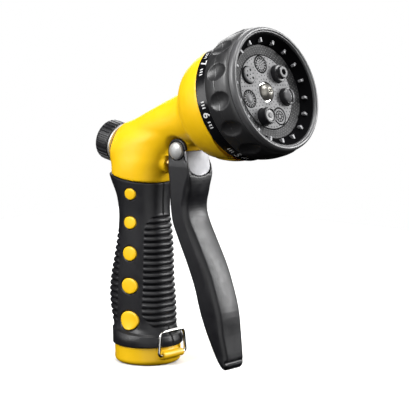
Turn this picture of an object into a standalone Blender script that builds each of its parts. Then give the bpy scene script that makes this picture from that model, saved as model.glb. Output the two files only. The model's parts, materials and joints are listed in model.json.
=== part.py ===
"""Hose spray nozzle: die-cast body, rubber grip, front trigger, rotating seven-pattern turret.

Frame: the origin is the centre of the hose inlet's end face, +Z runs up the handle and +X is the
side that the water leaves. Lengths below are millimetres, and MM turns them into metres.
Three working axes are used: the handle (vertical), the valve (through the flow knob and the stem)
and the head (through the barrel and the turret).
"""

import math

import bmesh
import bpy
from mathutils import Matrix, Vector

MM = 0.001
GAP = 0.3

# Handle and hose inlet
COLLAR_R = 20.4
COLLAR_H = 11.0
INSERT_R = 16.5
THREAD_R = 13.9
THREAD_PITCH = 2.2
WATERWAY_R = 6.5
WATERWAY_X = -4.0
CORE_BOTTOM = 15.3
SLEEVE_WALL = 2.9
GRIP_LEVELS = 13
GRIP_SIDES = 20
SLEEVE_TOP_Z = 111.8
SLEEVE_TOP_SLOPE = 6.3

# Grip dots, from the top: height, place along X, half-width and half-height of each oval
DOTS = ((104.2, -0.9, 4.6, 3.4), (86.6, -1.7, 5.2, 3.7), (67.7, -1.3, 5.6, 4.3),
        (47.9, -0.7, 6.3, 4.7), (26.8, 0.0, 7.1, 5.6))
DOT_PROUD = 0.3

# Valve axis: it starts at the knob's front plane and runs forward and down
VALVE_ORIGIN = (-22.2, 0.0, 133.5)
VALVE_TILT = 12.0
BODY_FACE = 2.0
CHAMBER_R = 8.6
SEAT_AT = 27.0
STEM_R = 2.5
GLAND_FACE = 44.9
STEM_NOSE_AT = 62.2
KNOB_R = 12.7
KNOB_LENGTH = 10.8
KNOB_RIBS = 30

# Head axis: it starts at the front ring's plane and runs forward and up
HEAD_ORIGIN = (101.8, 0.0, 170.0)
HEAD_TILT = 16.4
BELL_EDGE = -29.2
BELL_WALL = 2.7
OUTLET_COUNT = 7
OUTLET_CIRCLE_R = 16.0
DETENT_CIRCLE_R = 25.5
PLATE_FACE = -7.2
SHELL_R = 37.4
RING_R = 36.0
LIP_R = 31.4
SCALLOP_COUNT = 14
SCALLOP_PHASE = 8.0

# Trigger and its lock
PIVOT = (34.6, 0.0, 132.2)
PIN_R = 2.4
RIVET_R = 4.8
EAR_R = 7.3
LEVER_HALF = 10.1
LEVER_INNER = 7.8
LEVER_WEB = 3.2
TIP_HALF = 9.0
TRIGGER_HOLD = 16.7
BAIL_HINGE = (20.9, 0.0, 6.6)
BAIL_REACH = 14.6
BAIL_HALF = 10.1
BAIL_FOOT_HALF = 11.6
BAIL_WIRE_R = 0.95
BAIL_CATCH = 100.0
TUBE_R = 2.4
TUBE_HALF = 8.7

YELLOW = (0.95, 0.62, 0.02)
RUBBER = (0.022, 0.022, 0.025)
BLACK = (0.028, 0.028, 0.032)
GREY = (0.14, 0.14, 0.145)
LIGHT = (0.42, 0.42, 0.44)
STEEL = (0.62, 0.62, 0.64)
BRASS = (0.70, 0.50, 0.22)
SEAL = (0.03, 0.03, 0.03)
WHITE = (0.75, 0.74, 0.72)


def clear_scene():
    for obj in list(bpy.data.objects):
        bpy.data.objects.remove(obj, do_unlink=True)


def collection(name):
    found = bpy.data.collections.get(name) or bpy.data.collections.new(name)
    if found.name not in bpy.context.scene.collection.children:
        bpy.context.scene.collection.children.link(found)
    return found


def material(name, colour, roughness, metallic):
    found = bpy.data.materials.get(name) or bpy.data.materials.new(name)
    found.use_nodes = True
    shader = found.node_tree.nodes["Principled BSDF"]
    shader.inputs["Base Color"].default_value = (*colour, 1.0)
    shader.inputs["Roughness"].default_value = roughness
    shader.inputs["Metallic"].default_value = metallic
    return found


# --- frames -----------------------------------------------------------------------------------

def frame(origin, turn=0.0):
    """A frame at origin whose Z axis is turned from vertical towards +X by turn degrees."""
    place = Matrix.Translation(Vector(origin) * MM)
    return place @ Matrix.Rotation(math.radians(turn), 4, "Y")


UPRIGHT = frame((0.0, 0.0, 0.0))
VALVE = frame(VALVE_ORIGIN, 90.0 + VALVE_TILT)
HEAD = frame(HEAD_ORIGIN, 90.0 - HEAD_TILT)
SLEEVE_TOP = frame((0.0, 0.0, SLEEVE_TOP_Z), SLEEVE_TOP_SLOPE)
SIDE = Matrix.Rotation(math.radians(90.0), 4, "X")
TIP_END = frame((66.0, 0.0, 0.0)) @ Matrix.Rotation(math.radians(-90.0), 4, "Z") @ SIDE


def clock(radius, degrees):
    """A point in the head frame, degrees clockwise from the top as seen from the front."""
    turn = math.radians(degrees)
    return -radius * math.cos(turn), radius * math.sin(turn)


def offset(base, x=0.0, y=0.0, z=0.0):
    return base @ Matrix.Translation(Vector((x, y, z)) * MM)


# --- objects ----------------------------------------------------------------------------------

def put(name, mesh, place, look=None):
    """Link a mesh as a part, or as a hidden cutter when it has no look."""
    obj = bpy.data.objects.new(name, mesh)
    obj.matrix_world = place
    if look is None:
        CUTTERS.objects.link(obj)
        obj.hide_render = True
        obj.display_type = "WIRE"
    else:
        PARTS.objects.link(obj)
        mesh.materials.append(look)
        mesh.shade_smooth()
        mesh.set_sharp_from_angle(angle=math.radians(35.0))
    return obj


def from_bmesh(name, work, place, look=None):
    mesh = bpy.data.meshes.new(name)
    work.to_mesh(mesh)
    work.free()
    return put(name, mesh, place, look)


def turned(name, profile, place, look=None, steps=32, ring=False):
    """Turn a profile of (radius, height) about Z. It runs down the outer side."""
    mesh = bpy.data.meshes.new(name)
    points = [(radius * MM, 0.0, height * MM) for radius, height in profile]
    edges = [(i, i + 1) for i in range(len(points) - 1)]
    if ring:
        edges.append((len(points) - 1, 0))
    mesh.from_pydata(points, edges, [])
    obj = put(name, mesh, place, look)
    screw = obj.modifiers.new("turn", "SCREW")
    screw.angle = math.tau
    screw.steps = steps
    screw.render_steps = steps
    screw.use_merge_vertices = True
    screw.merge_threshold = 0.00001
    return obj


def cylinder(name, radius, low, high, place, look=None, steps=32):
    profile = [(0.0, high), (radius, high), (radius, low), (0.0, low)]
    return turned(name, profile, place, look, steps)


def tube(name, outer, inner, low, high, place, look=None, steps=32):
    profile = [(outer, high), (outer, low), (inner, low), (inner, high)]
    return turned(name, profile, place, look, steps, ring=True)


def torus(name, radius, section, at, place, look, steps=16, around=5):
    turns = [math.tau * i / around for i in range(around)]
    profile = [(radius + section * math.cos(a), at - section * math.sin(a)) for a in turns]
    return turned(name, profile, place, look, steps, ring=True)


def box(name, low, high, place, look=None):
    work = bmesh.new()
    bmesh.ops.create_cube(work, size=1.0)
    size = Vector(high) - Vector(low)
    centre = (Vector(high) + Vector(low)) / 2.0
    bmesh.ops.scale(work, vec=size * MM, verts=work.verts)
    bmesh.ops.translate(work, vec=centre * MM, verts=work.verts)
    return from_bmesh(name, work, place, look)


def solid_from_curve(name, curve, place, look=None):
    """Mesh a curve object's evaluated shape and weld its caps."""
    guide = bpy.data.objects.new(name + "_curve", curve)
    CUTTERS.objects.link(guide)
    guide.matrix_world = place
    bpy.context.view_layer.update()
    graph = bpy.context.evaluated_depsgraph_get()
    mesh = bpy.data.meshes.new_from_object(guide.evaluated_get(graph))
    work = bmesh.new()
    work.from_mesh(mesh)
    bmesh.ops.remove_doubles(work, verts=work.verts, dist=0.000005)
    bmesh.ops.recalc_face_normals(work, faces=work.faces)
    bmesh.ops.dissolve_limit(work, angle_limit=math.radians(0.2), verts=work.verts,
                             edges=work.edges)
    work.to_mesh(mesh)
    work.free()
    mesh.name = name
    mesh.materials.clear()
    bpy.data.objects.remove(guide, do_unlink=True)
    return put(name, mesh, place, look)


def outline(name, points, half, place, look=None, rounding=0.0, smooth=True, detail=3):
    """Extrude a closed outline by half to each side, with its edges rounded."""
    curve = bpy.data.curves.new(name, "CURVE")
    curve.dimensions = "2D"
    curve.fill_mode = "BOTH"
    curve.resolution_u = detail
    curve.extrude = (half - rounding) * MM
    curve.bevel_depth = rounding * MM
    curve.offset = -rounding * MM
    curve.bevel_resolution = 1
    kind = "BEZIER" if smooth else "POLY"
    spline = curve.splines.new(kind)
    spline.use_cyclic_u = True
    if smooth:
        spline.bezier_points.add(len(points) - 1)
        for knot, (x, y) in zip(spline.bezier_points, points):
            knot.co = (x * MM, y * MM, 0.0)
            knot.handle_left_type = "AUTO"
            knot.handle_right_type = "AUTO"
    else:
        spline.points.add(len(points) - 1)
        for knot, (x, y) in zip(spline.points, points):
            knot.co = (x * MM, y * MM, 0.0, 1.0)
    return solid_from_curve(name, curve, place, look)


def wire(name, points, radius, place, look, resolution=2):
    """A round wire through points, with flat caps."""
    curve = bpy.data.curves.new(name, "CURVE")
    curve.dimensions = "3D"
    curve.bevel_depth = radius * MM
    curve.bevel_resolution = resolution
    curve.use_fill_caps = True
    spline = curve.splines.new("POLY")
    spline.points.add(len(points) - 1)
    for knot, point in zip(spline.points, points):
        knot.co = (*(Vector(point) * MM), 1.0)
    return solid_from_curve(name, curve, place, look)


def coil(name, radius, wire_r, low, high, turns, place, look, per_turn=10):
    count = turns * per_turn
    points = []
    for i in range(count + 1):
        a = math.tau * i / per_turn
        height = low + wire_r + (high - low - 2.0 * wire_r) * i / count
        points.append((radius * math.cos(a), radius * math.sin(a), height))
    return wire(name, points, wire_r, place, look, resolution=1)


def combine(obj, other, operation):
    step = obj.modifiers.new(operation.lower(), "BOOLEAN")
    step.operation = operation
    step.solver = "EXACT"
    step.object = other
    return obj


def cut(obj, *cutters):
    for cutter in cutters:
        combine(obj, cutter, "DIFFERENCE")
    return obj


def join(obj, *pieces):
    for piece in pieces:
        combine(obj, piece, "UNION")
    return obj


# --- handle sections --------------------------------------------------------------------------

# height, front, rear, half-width and squareness of the grip's outer surface
GRIP_SECTIONS = (
    (11.3, 20.8, -20.8, 20.8, 2.0),
    (17.0, 20.6, -21.0, 20.2, 2.0),
    (22.0, 18.4, -22.2, 17.2, 2.3),
    (31.0, 17.6, -24.4, 16.1, 2.5),
    (42.0, 17.4, -26.0, 15.5, 2.5),
    (52.0, 16.4, -24.9, 15.1, 2.5),
    (64.0, 16.2, -22.2, 14.5, 2.5),
    (78.0, 15.5, -19.3, 13.8, 2.5),
    (92.0, 13.7, -18.4, 13.3, 2.5),
    (103.0, 13.6, -20.4, 13.9, 2.5),
    (112.0, 14.4, -24.9, 14.8, 2.5),
    (118.0, 15.4, -27.4, 15.4, 2.5),
)
# the same for the bare casting above the grip
SHOULDER_SECTIONS = (
    (106.0, 13.6, -22.0, 14.0, 2.5),
    (112.0, 14.4, -23.8, 14.8, 2.5),
    (119.0, 16.4, -24.3, 15.4, 2.4),
    (126.0, 20.0, -24.2, 15.2, 2.4),
    (133.0, 23.5, -24.0, 14.2, 2.3),
    (139.0, 24.0, -22.5, 12.4, 2.2),
    (144.0, 22.0, -19.0, 9.5, 2.1),
)


def section_at(table, height):
    """Interpolate a section table smoothly (Catmull-Rom between its rows)."""
    rows = list(table)
    last = len(rows) - 1
    index = max(0, min(last - 1, sum(row[0] <= height for row in rows) - 1))
    a, b = rows[index], rows[index + 1]
    before, after = rows[max(index - 1, 0)], rows[min(index + 2, last)]
    t = (height - a[0]) / (b[0] - a[0])
    values = []
    for k in range(1, 5):
        rise_a = (b[k] - before[k]) / (b[0] - before[0]) * (b[0] - a[0])
        rise_b = (after[k] - a[k]) / (after[0] - a[0]) * (b[0] - a[0])
        values.append((2 * t**3 - 3 * t**2 + 1) * a[k] + (t**3 - 2 * t**2 + t) * rise_a
                      + (3 * t**2 - 2 * t**3) * b[k] + (t**3 - t**2) * rise_b)
    return values


def section_ring(table, height, inset):
    front, rear, half, square = section_at(table, height)
    centre, deep, wide = (front + rear) / 2.0, (front - rear) / 2.0 - inset, half - inset
    ring = []
    for i in range(GRIP_SIDES):
        a = math.tau * i / GRIP_SIDES
        c, s = math.cos(a), math.sin(a)
        x = centre + deep * math.copysign(abs(c) ** (2.0 / square), c)
        y = wide * math.copysign(abs(s) ** (2.0 / square), s)
        ring.append(Vector((x, y, height)) * MM)
    return ring


def loft(name, table, low, high, inset, levels, look=None, overshoot=0.0):
    """Skin the rings of a section table between two heights, and cap both ends.

    A cutter overshoots both ends, straight up and down.
    """
    work = bmesh.new()
    outlines = []
    for i in range(levels):
        height = low + (high - low) * i / (levels - 1)
        outlines.append(section_ring(table, height, inset))
    if overshoot:
        beyond = Vector((0.0, 0.0, overshoot)) * MM
        outlines.insert(0, [point - beyond for point in outlines[0]])
        outlines.append([point + beyond for point in outlines[-1]])
    rings = [[work.verts.new(point) for point in outline] for outline in outlines]
    for lower, upper in zip(rings[:-1], rings[1:]):
        for i in range(GRIP_SIDES):
            j = (i + 1) % GRIP_SIDES
            work.faces.new((lower[i], lower[j], upper[j], upper[i]))
    work.faces.new(list(reversed(rings[0])))
    work.faces.new(rings[-1])
    return from_bmesh(name, work, UPRIGHT, look)


# --- the fixed body ---------------------------------------------------------------------------

def head_shell_profile():
    """The barrel and bell, from the bell's edge back to the barrel's rear end."""
    return [(0.0, BELL_EDGE), (34.1, BELL_EDGE), (33.6, -34.0), (32.5, -40.0), (30.4, -45.5),
            (28.0, -50.0), (25.2, -53.3), (21.6, -56.2), (18.8, -58.6), (17.3, -61.5),
            (16.6, -66.0), (15.9, -73.0), (14.9, -84.0), (13.9, -97.0), (12.6, -113.0),
            (11.4, -128.0), (0.0, -128.0)]


def make_body():
    yellow = material("yellow_enamel", YELLOW, 0.35, 0.0)
    body = turned("body_casting", head_shell_profile(), HEAD, yellow, steps=30)

    shoulder = loft("shoulder_form", SHOULDER_SECTIONS, 106.0, 144.0, 0.0, 9)
    cut(shoulder, box("shoulder_trim", (-60.0, -40.0, -40.0), (60.0, 40.0, 1.6),
                      SLEEVE_TOP))
    core = loft("core_form", GRIP_SECTIONS, COLLAR_H + GAP, 118.0, SLEEVE_WALL + GAP, GRIP_LEVELS)
    cut(core, box("core_foot", (-30.0, -30.0, 0.0), (30.0, 30.0, CORE_BOTTOM), UPRIGHT))
    lug = outline("lug_form", [(12.0, 146.0), (12.0, 128.0), (26.0, 127.2), (34.0, 127.4),
                               (38.2, 129.0), (39.4, 132.4), (40.5, 136.0), (48.0, 146.0)],
                  LEVER_INNER - GAP, SIDE, smooth=False)
    gland_boss = cylinder("gland_boss", 7.3, 30.0, GLAND_FACE + 1.0, VALVE, steps=20)
    join(body, shoulder, core, lug, gland_boss)
    for side in (-1.0, 1.0):
        for height, along, wide, tall in DOTS:
            join(body, dot("dot_form", height, along, wide, tall, side, 9.0, DOT_PROUD))

    cut(body, *body_cutters())
    return body


def dot(name, height, along, wide, tall, side, start, proud):
    """One oval boss of the grip, from start out to its own skin."""
    half = section_at(GRIP_SECTIONS, height)[2]
    work = bmesh.new()
    reach = half + proud
    bmesh.ops.create_cone(work, cap_ends=True, segments=10, radius1=1.0, radius2=1.0, depth=1.0)
    bmesh.ops.scale(work, vec=Vector((wide, tall, reach - start)) * MM, verts=work.verts)
    middle = side * (start + reach) / 2.0
    place = Matrix.Translation(Vector((along, middle, height)) * MM) @ SIDE
    return from_bmesh(name, work, place)


def body_cutters():
    """Everything machined or cored out of the casting."""
    bell_r = 34.1 - BELL_WALL
    valve_bore = [(0.0, 52.0), (8.3, 52.0), (8.3, GLAND_FACE), (4.6, GLAND_FACE), (4.6, 39.6),
                  (STEM_R + GAP, 39.6), (STEM_R + GAP, 37.0), (6.0, 37.0), (6.0, SEAT_AT + 3.0),
                  (4.2, SEAT_AT + 3.0), (4.2, SEAT_AT), (CHAMBER_R, SEAT_AT),
                  (CHAMBER_R, BODY_FACE), (16.5, BODY_FACE), (16.5, -14.0), (0.0, -14.0)]
    head_bore = [(0.0, BELL_EDGE + 2.0), (bell_r, BELL_EDGE + 2.0), (bell_r, -34.0),
                 (30.2, -40.0), (27.2, -46.5), (22.0, -52.0), (15.0, -54.5), (7.2, -55.5),
                 (7.2, -66.0), (WATERWAY_R, -66.0), (WATERWAY_R, -99.0), (0.0, -99.0)]
    riser = frame((12.5, 0.0, 124.0), -14.0)
    cutters = [
        turned("valve_bore", valve_bore, VALVE, steps=18),
        turned("head_bore", head_bore, HEAD, steps=28),
        cylinder("waterway_bore", WATERWAY_R, 5.0, 125.0, offset(UPRIGHT, WATERWAY_X),
                 steps=16),
        cylinder("insert_socket", 9.3, 5.0, 20.6, UPRIGHT, steps=20),
        cylinder("riser_bore", 4.4, 0.0, 20.0, riser, steps=12),
    ]
    for side in (-1.0, 1.0):
        low, high = sorted((side * (LEVER_INNER - GAP - 0.1), side * 20.0))
        cutters.append(cylinder("ear_pocket", EAR_R + 1.1, low, high, pivot_frame(), steps=18))
        low, high = sorted((side * (LEVER_INNER - 0.15), side * 21.0))
        cutters.append(box("ear_sweep", (22.6, low, 108.0), (44.0, high, 129.6), UPRIGHT))
    cutters.append(cylinder("pin_bore", PIN_R + 0.12, -30.0, 30.0, pivot_frame(), steps=16))
    return cutters


def pivot_frame():
    """A frame at the trigger's pivot whose Z runs along +Y."""
    place = Matrix.Translation(Vector(PIVOT) * MM)
    return place @ Matrix.Rotation(math.radians(-90.0), 4, "X")


def make_grip():
    rubber = material("grip_rubber", RUBBER, 0.6, 0.0)
    sleeve = loft("grip_sleeve", GRIP_SECTIONS, COLLAR_H + GAP, 118.0, 0.0, GRIP_LEVELS, rubber)
    hollow = loft("sleeve_hollow", GRIP_SECTIONS, COLLAR_H + GAP, 118.0, SLEEVE_WALL, GRIP_LEVELS,
                  overshoot=3.0)
    cut(sleeve, hollow, box("sleeve_trim", (-60.0, -40.0, 1.2), (60.0, 40.0, 40.0), SLEEVE_TOP))
    for side in (-1.0, 1.0):
        for height, along, wide, tall in DOTS:
            cut(sleeve, dot("dot_hole", height, along, wide + GAP, tall + GAP, side, 7.0, 6.0))
    return sleeve


def make_inlet():
    yellow = material("yellow_enamel", YELLOW, 0.35, 0.0)
    brass = material("brass", BRASS, 0.35, 1.0)
    collar = turned("base_collar", [(INSERT_R + GAP, COLLAR_H), (COLLAR_R, COLLAR_H),
                                    (COLLAR_R, 3.0), (COLLAR_R - 0.5, 1.0),
                                    (COLLAR_R - 1.6, 0.0), (INSERT_R + GAP, 0.0)],
                    UPRIGHT, yellow, steps=30, ring=True)
    hinge = Matrix.Translation(Vector(BAIL_HINGE) * MM) @ Matrix.Rotation(
        math.radians(-90.0), 4, "X")
    join(collar, cylinder("hinge_tube_form", TUBE_R, -TUBE_HALF, TUBE_HALF, hinge, steps=16))
    for side in (-1.0, 1.0):
        low, high = sorted((side * 4.6, side * 12.0))
        cut(collar, cylinder("bail_hole", BAIL_WIRE_R + GAP, low, high, hinge, steps=12))

    thread = []
    crests = int(9.5 / THREAD_PITCH)
    for i in range(crests):
        low = 1.2 + i * THREAD_PITCH
        thread += [(THREAD_R, low), (THREAD_R - 1.0, low + 0.5 * THREAD_PITCH)]
    thread.append((THREAD_R, 1.2 + crests * THREAD_PITCH))
    profile = [(9.0, 20.0), (9.0, 15.0), (INSERT_R, 15.0), (INSERT_R, 0.3), (INSERT_R - 0.3, 0.0),
               (THREAD_R + 0.4, 0.0)] + thread + [(THREAD_R, 12.6), (6.4, 12.6), (6.4, 20.0)]
    turned("inlet_insert", profile, UPRIGHT, brass, steps=20, ring=True)
    tube("hose_washer", 12.6, 7.2, 10.2, 12.3, UPRIGHT, material("seal_rubber", SEAL, 0.7, 0.0),
         steps=20)


# --- valve ------------------------------------------------------------------------------------

def make_valve():
    brass = material("brass", BRASS, 0.35, 1.0)
    seal = material("seal_rubber", SEAL, 0.7, 0.0)
    steel = material("bright_steel", STEEL, 0.25, 1.0)
    silver = material("satin_nickel", WHITE, 0.35, 0.6)

    nose = []
    dome = 4
    for i in range(dome + 1):
        a = math.pi / 2.0 * i / dome
        nose.append((3.0 * math.sin(a), STEM_NOSE_AT + 3.0 * math.cos(a)))
    stem = nose + [(3.0, 53.9), (STEM_R, 53.4), (STEM_R, 24.5), (5.2, 24.5), (5.2, 22.5),
                   (1.8, 22.5), (1.8, 19.0), (0.0, 19.0)]
    turned("valve_stem", stem, VALVE, brass, steps=16)
    tube("valve_seal", 5.9, STEM_R + GAP, 24.8, SEAT_AT - GAP, VALVE, seal, steps=16)
    torus("stem_o_ring_inner", 3.65, 0.65, 40.5, VALVE, seal, steps=12)
    torus("stem_o_ring_outer", 3.65, 0.65, 42.5, VALVE, seal, steps=12)

    nut = turned("gland_nut", [(6.2, 49.0), (6.2, 45.2), (4.3, 45.2), (4.3, 43.6),
                               (STEM_R + GAP, 43.6), (STEM_R + GAP, 49.0)],
                 VALVE, brass, steps=18, ring=True)
    cut(nut, tube("nut_flats", 12.0, 5.9, 45.0, 50.0, VALVE, steps=6))
    coil("return_spring", 4.8, 0.55, 9.5, 22.2, 5, VALVE, steel, per_turn=8)

    bonnet = [(5.6, -4.4), (5.6, 0.2), (12.4, 0.2), (12.4, 1.7), (8.3, 1.7), (8.3, 4.2),
              (6.5, 4.2), (6.5, 6.6), (8.3, 6.6), (8.3, 9.2), (2.8, 9.2), (2.8, -4.4)]
    bonnet.reverse()
    turned("rear_bonnet", bonnet, VALVE, silver, steps=20, ring=True)
    torus("bonnet_o_ring", 7.55, 0.72, 5.4, VALVE, seal)

    spindle = [(0.0, 14.4), (2.0, 14.4), (2.5, 13.6), (2.5, -7.4), (1.8, -7.4), (1.8, -2.4),
               (0.0, -2.4)]
    turned("flow_spindle", spindle, VALVE, brass, steps=16)


def make_knob():
    black = material("black_plastic", BLACK, 0.5, 0.0)
    steel = material("bright_steel", STEEL, 0.25, 1.0)
    rear = -KNOB_LENGTH - 0.3
    root = KNOB_R - 0.9
    ribs = []
    for i in range(2 * KNOB_RIBS):
        radius = root if i % 2 else KNOB_R
        a = math.pi * i / KNOB_RIBS
        ribs.append((radius * math.cos(a), radius * math.sin(a)))
    knob = outline("flow_knob", ribs, 0.5 * KNOB_LENGTH - 1.0, offset(VALVE, z=0.5 * rear),
                   black, smooth=False)
    drum = turned("knob_drum", [(0.0, -0.3), (root - 0.3, -0.3), (root - 0.3, rear + 1.0),
                                (root - 1.3, rear), (0.0, rear)], VALVE, steps=24)
    bore = turned("knob_bore", [(0.0, 1.0), (9.9, 1.0), (9.9, -5.0), (2.8, -5.0),
                                (2.8, rear + 2.2), (4.1, rear + 2.2), (4.1, rear - 1.0),
                                (0.0, rear - 1.0)], VALVE, steps=16)
    cut(join(knob, drum), bore)
    turned("knob_screw", [(0.0, -3.0), (1.45, -3.0), (1.45, rear + 1.9), (3.6, rear + 1.9),
                          (3.2, rear + 0.5), (1.6, rear), (0.0, rear)], VALVE, steel, steps=14)


# --- trigger ----------------------------------------------------------------------------------

LEVER_OUTLINE = (
    (34.6, 139.5), (40.0, 137.2), (42.0, 132.0), (43.5, 124.8), (44.9, 117.0), (43.9, 108.5),
    (41.9, 100.0), (43.0, 92.5), (48.8, 82.0), (57.9, 65.5), (63.4, 52.0), (67.7, 38.5),
    (69.7, 25.0), (71.9, 12.0), (71.7, 6.8), (70.0, 4.9), (67.6, 8.0), (63.2, 17.2),
    (56.4, 35.6), (52.0, 51.5), (45.8, 65.3), (37.9, 79.1), (31.9, 90.2), (29.9, 101.0),
    (28.6, 116.0), (27.3, 131.0), (29.4, 137.4),
)


def plate_frame():
    """A frame on the lever's front line: X across, Y up the line, Z out of the front."""
    top, foot = Vector((42.0, 0.0, 132.0)), Vector((44.9, 0.0, 117.5))
    up = (top - foot).normalized()
    across = Vector((0.0, 1.0, 0.0))
    turn = Matrix((across, up, across.cross(up))).transposed().to_4x4()
    return Matrix.Translation(top * MM) @ turn


def plate_outline(grow):
    """A straight-sided plate with a half-round foot."""
    half, foot = 9.1 + grow, 6.4 + grow
    points = [(half, 0.4 + grow), (half, -8.6)]
    arc = 8
    for i in range(1, arc):
        a = math.pi * i / arc
        points.append((half * math.cos(a), -8.6 - foot * math.sin(a)))
    return points + [(-half, -8.6), (-half, 0.4 + grow)]


def make_trigger():
    black = material("lever_black", BLACK, 0.4, 0.0)
    steel = material("bare_zinc", STEEL, 0.4, 0.8)
    lever = outline("trigger_lever", LEVER_OUTLINE, LEVER_HALF, SIDE, black, rounding=1.6,
                    detail=2)
    channel = outline("lever_channel", LEVER_OUTLINE, LEVER_INNER,
                      offset(SIDE, -LEVER_WEB, 3.4), detail=2)
    fork = box("lever_fork", (20.0, -LEVER_INNER, 118.5), (50.0, LEVER_INNER, 145.0), UPRIGHT)
    seat = outline("plate_pocket", plate_outline(GAP), 3.6, offset(plate_frame(), z=1.2),
                   smooth=False)
    groove = cylinder("bail_groove", BAIL_WIRE_R + 0.4, -15.0, 15.0, groove_frame(), steps=12)
    bore = cylinder("lever_bore", PIN_R + 0.15, -15.0, 15.0, pivot_frame(), steps=16)
    cut(lever, channel, fork, seat, groove, bore)
    taper = [(TIP_HALF, -4.0), (TIP_HALF, 13.0), (LEVER_HALF + 0.2, 26.0), (20.0, 26.0),
             (20.0, -4.0)]
    for side in (-1.0, 1.0):
        corners = [(-side * across, height) for across, height in taper]
        cut(lever, outline("tip_taper", corners, 20.0, TIP_END, smooth=False))

    outline("push_plate", plate_outline(0.0), 1.0, offset(plate_frame(), z=-1.0), steel,
            smooth=False)

    bright = material("bright_steel", STEEL, 0.25, 1.0)
    head = []
    dome = 4
    for i in range(dome + 1):
        a = math.pi / 2.0 * i / dome
        head.append((RIVET_R * math.sin(a), LEVER_HALF + GAP + 1.9 * math.cos(a)))
    rivet = head + [(PIN_R, LEVER_HALF + GAP), (PIN_R, -LEVER_HALF - GAP)]
    rivet += [(r, -z) for r, z in reversed(head)]
    turned("trigger_rivet", rivet, pivot_frame(), bright, steps=16)


def groove_frame():
    """Where the bail's bar lies on the lever, turned back from the held trigger."""
    catch = math.radians(BAIL_CATCH)
    bar = Vector((BAIL_HINGE[0] + BAIL_REACH * math.sin(catch), 0.0,
                  BAIL_HINGE[2] + BAIL_REACH * math.cos(catch)))
    arm = bar - Vector(PIVOT)
    arm.rotate(Matrix.Rotation(math.radians(-TRIGGER_HOLD), 3, "Y"))
    place = Matrix.Translation((Vector(PIVOT) + arm) * MM)
    return place @ Matrix.Rotation(math.radians(-90.0), 4, "X")


def make_bail():
    steel = material("bright_steel", STEEL, 0.25, 1.0)
    x, _, z = BAIL_HINGE
    top, corner, foot = z + BAIL_REACH, 2.5, 2.0
    half_path = [(x, 5.2, z), (x, BAIL_FOOT_HALF - foot, z)]
    for i in range(1, 4):
        a = math.pi / 2.0 * i / 3
        half_path.append((x, BAIL_FOOT_HALF - foot + foot * math.sin(a),
                          z + foot - foot * math.cos(a)))
    for i in range(0, 5):
        a = math.pi / 2.0 * i / 4
        half_path.append((x, BAIL_HALF - corner + corner * math.cos(a),
                          top - corner + corner * math.sin(a)))
    mirrored = [(px, -py, pz) for px, py, pz in reversed(half_path)]
    wire("lock_bail", half_path + mirrored, BAIL_WIRE_R, UPRIGHT, steel)


# --- turret -----------------------------------------------------------------------------------

def make_distributor():
    """The fixed plug in the bell that leads the water to the port at the top."""
    black = material("black_plastic", BLACK, 0.5, 0.0)
    seal = material("seal_rubber", SEAL, 0.7, 0.0)
    steel = material("bright_steel", STEEL, 0.25, 1.0)
    port_x, port_y = clock(OUTLET_CIRCLE_R, 0.0)
    plug = turned("distributor", [(0.0, -29.5), (31.0, -29.5), (31.0, -32.6), (12.0, -33.2),
                                  (9.5, -36.5), (9.5, -52.0), (6.8, -54.0), (6.8, -57.6),
                                  (5.2, -57.6), (5.2, -60.0), (6.8, -60.0), (6.8, -65.0),
                                  (0.0, -65.0)], HEAD, black, steps=20)
    boss = cylinder("port_boss", 7.0, -40.5, -31.0, offset(HEAD, port_x, port_y), steps=14)
    lean = math.degrees(math.atan2(OUTLET_CIRCLE_R, 30.0))
    channel = offset(HEAD, 0.0, 0.0, -66.0) @ Matrix.Rotation(math.radians(-lean), 4, "Y")
    conduit = cylinder("conduit_form", 5.4, 17.0, 36.0, channel, steps=12)
    pocket = offset(HEAD, *clock(DETENT_CIRCLE_R, 180.0))
    join(plug, boss, conduit, cylinder("detent_boss", 3.6, -36.8, -31.0, pocket, steps=12))
    cut(plug,
        cylinder("conduit_bore", 3.0, -3.0, 36.0, channel, steps=12),
        cylinder("port_bore", 5.2, -36.0, -20.0, offset(HEAD, port_x, port_y), steps=16),
        cylinder("screw_bore", 2.0, -45.0, -20.0, HEAD, steps=12),
        cylinder("detent_bore", 2.2, -35.6, -20.0, pocket, steps=12))
    torus("distributor_o_ring", 6.1, 0.62, -58.8, HEAD, seal)
    tube("port_seal", 4.9, 2.6, -31.6, -29.1, offset(HEAD, port_x, port_y), seal, steps=16)
    coil("detent_spring", 1.5, 0.3, -35.3, -33.3, 2, pocket, steel, per_turn=8)
    coil("port_spring", 3.9, 0.45, -35.7, -31.9, 3, offset(HEAD, port_x, port_y), steel,
         per_turn=8)


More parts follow.
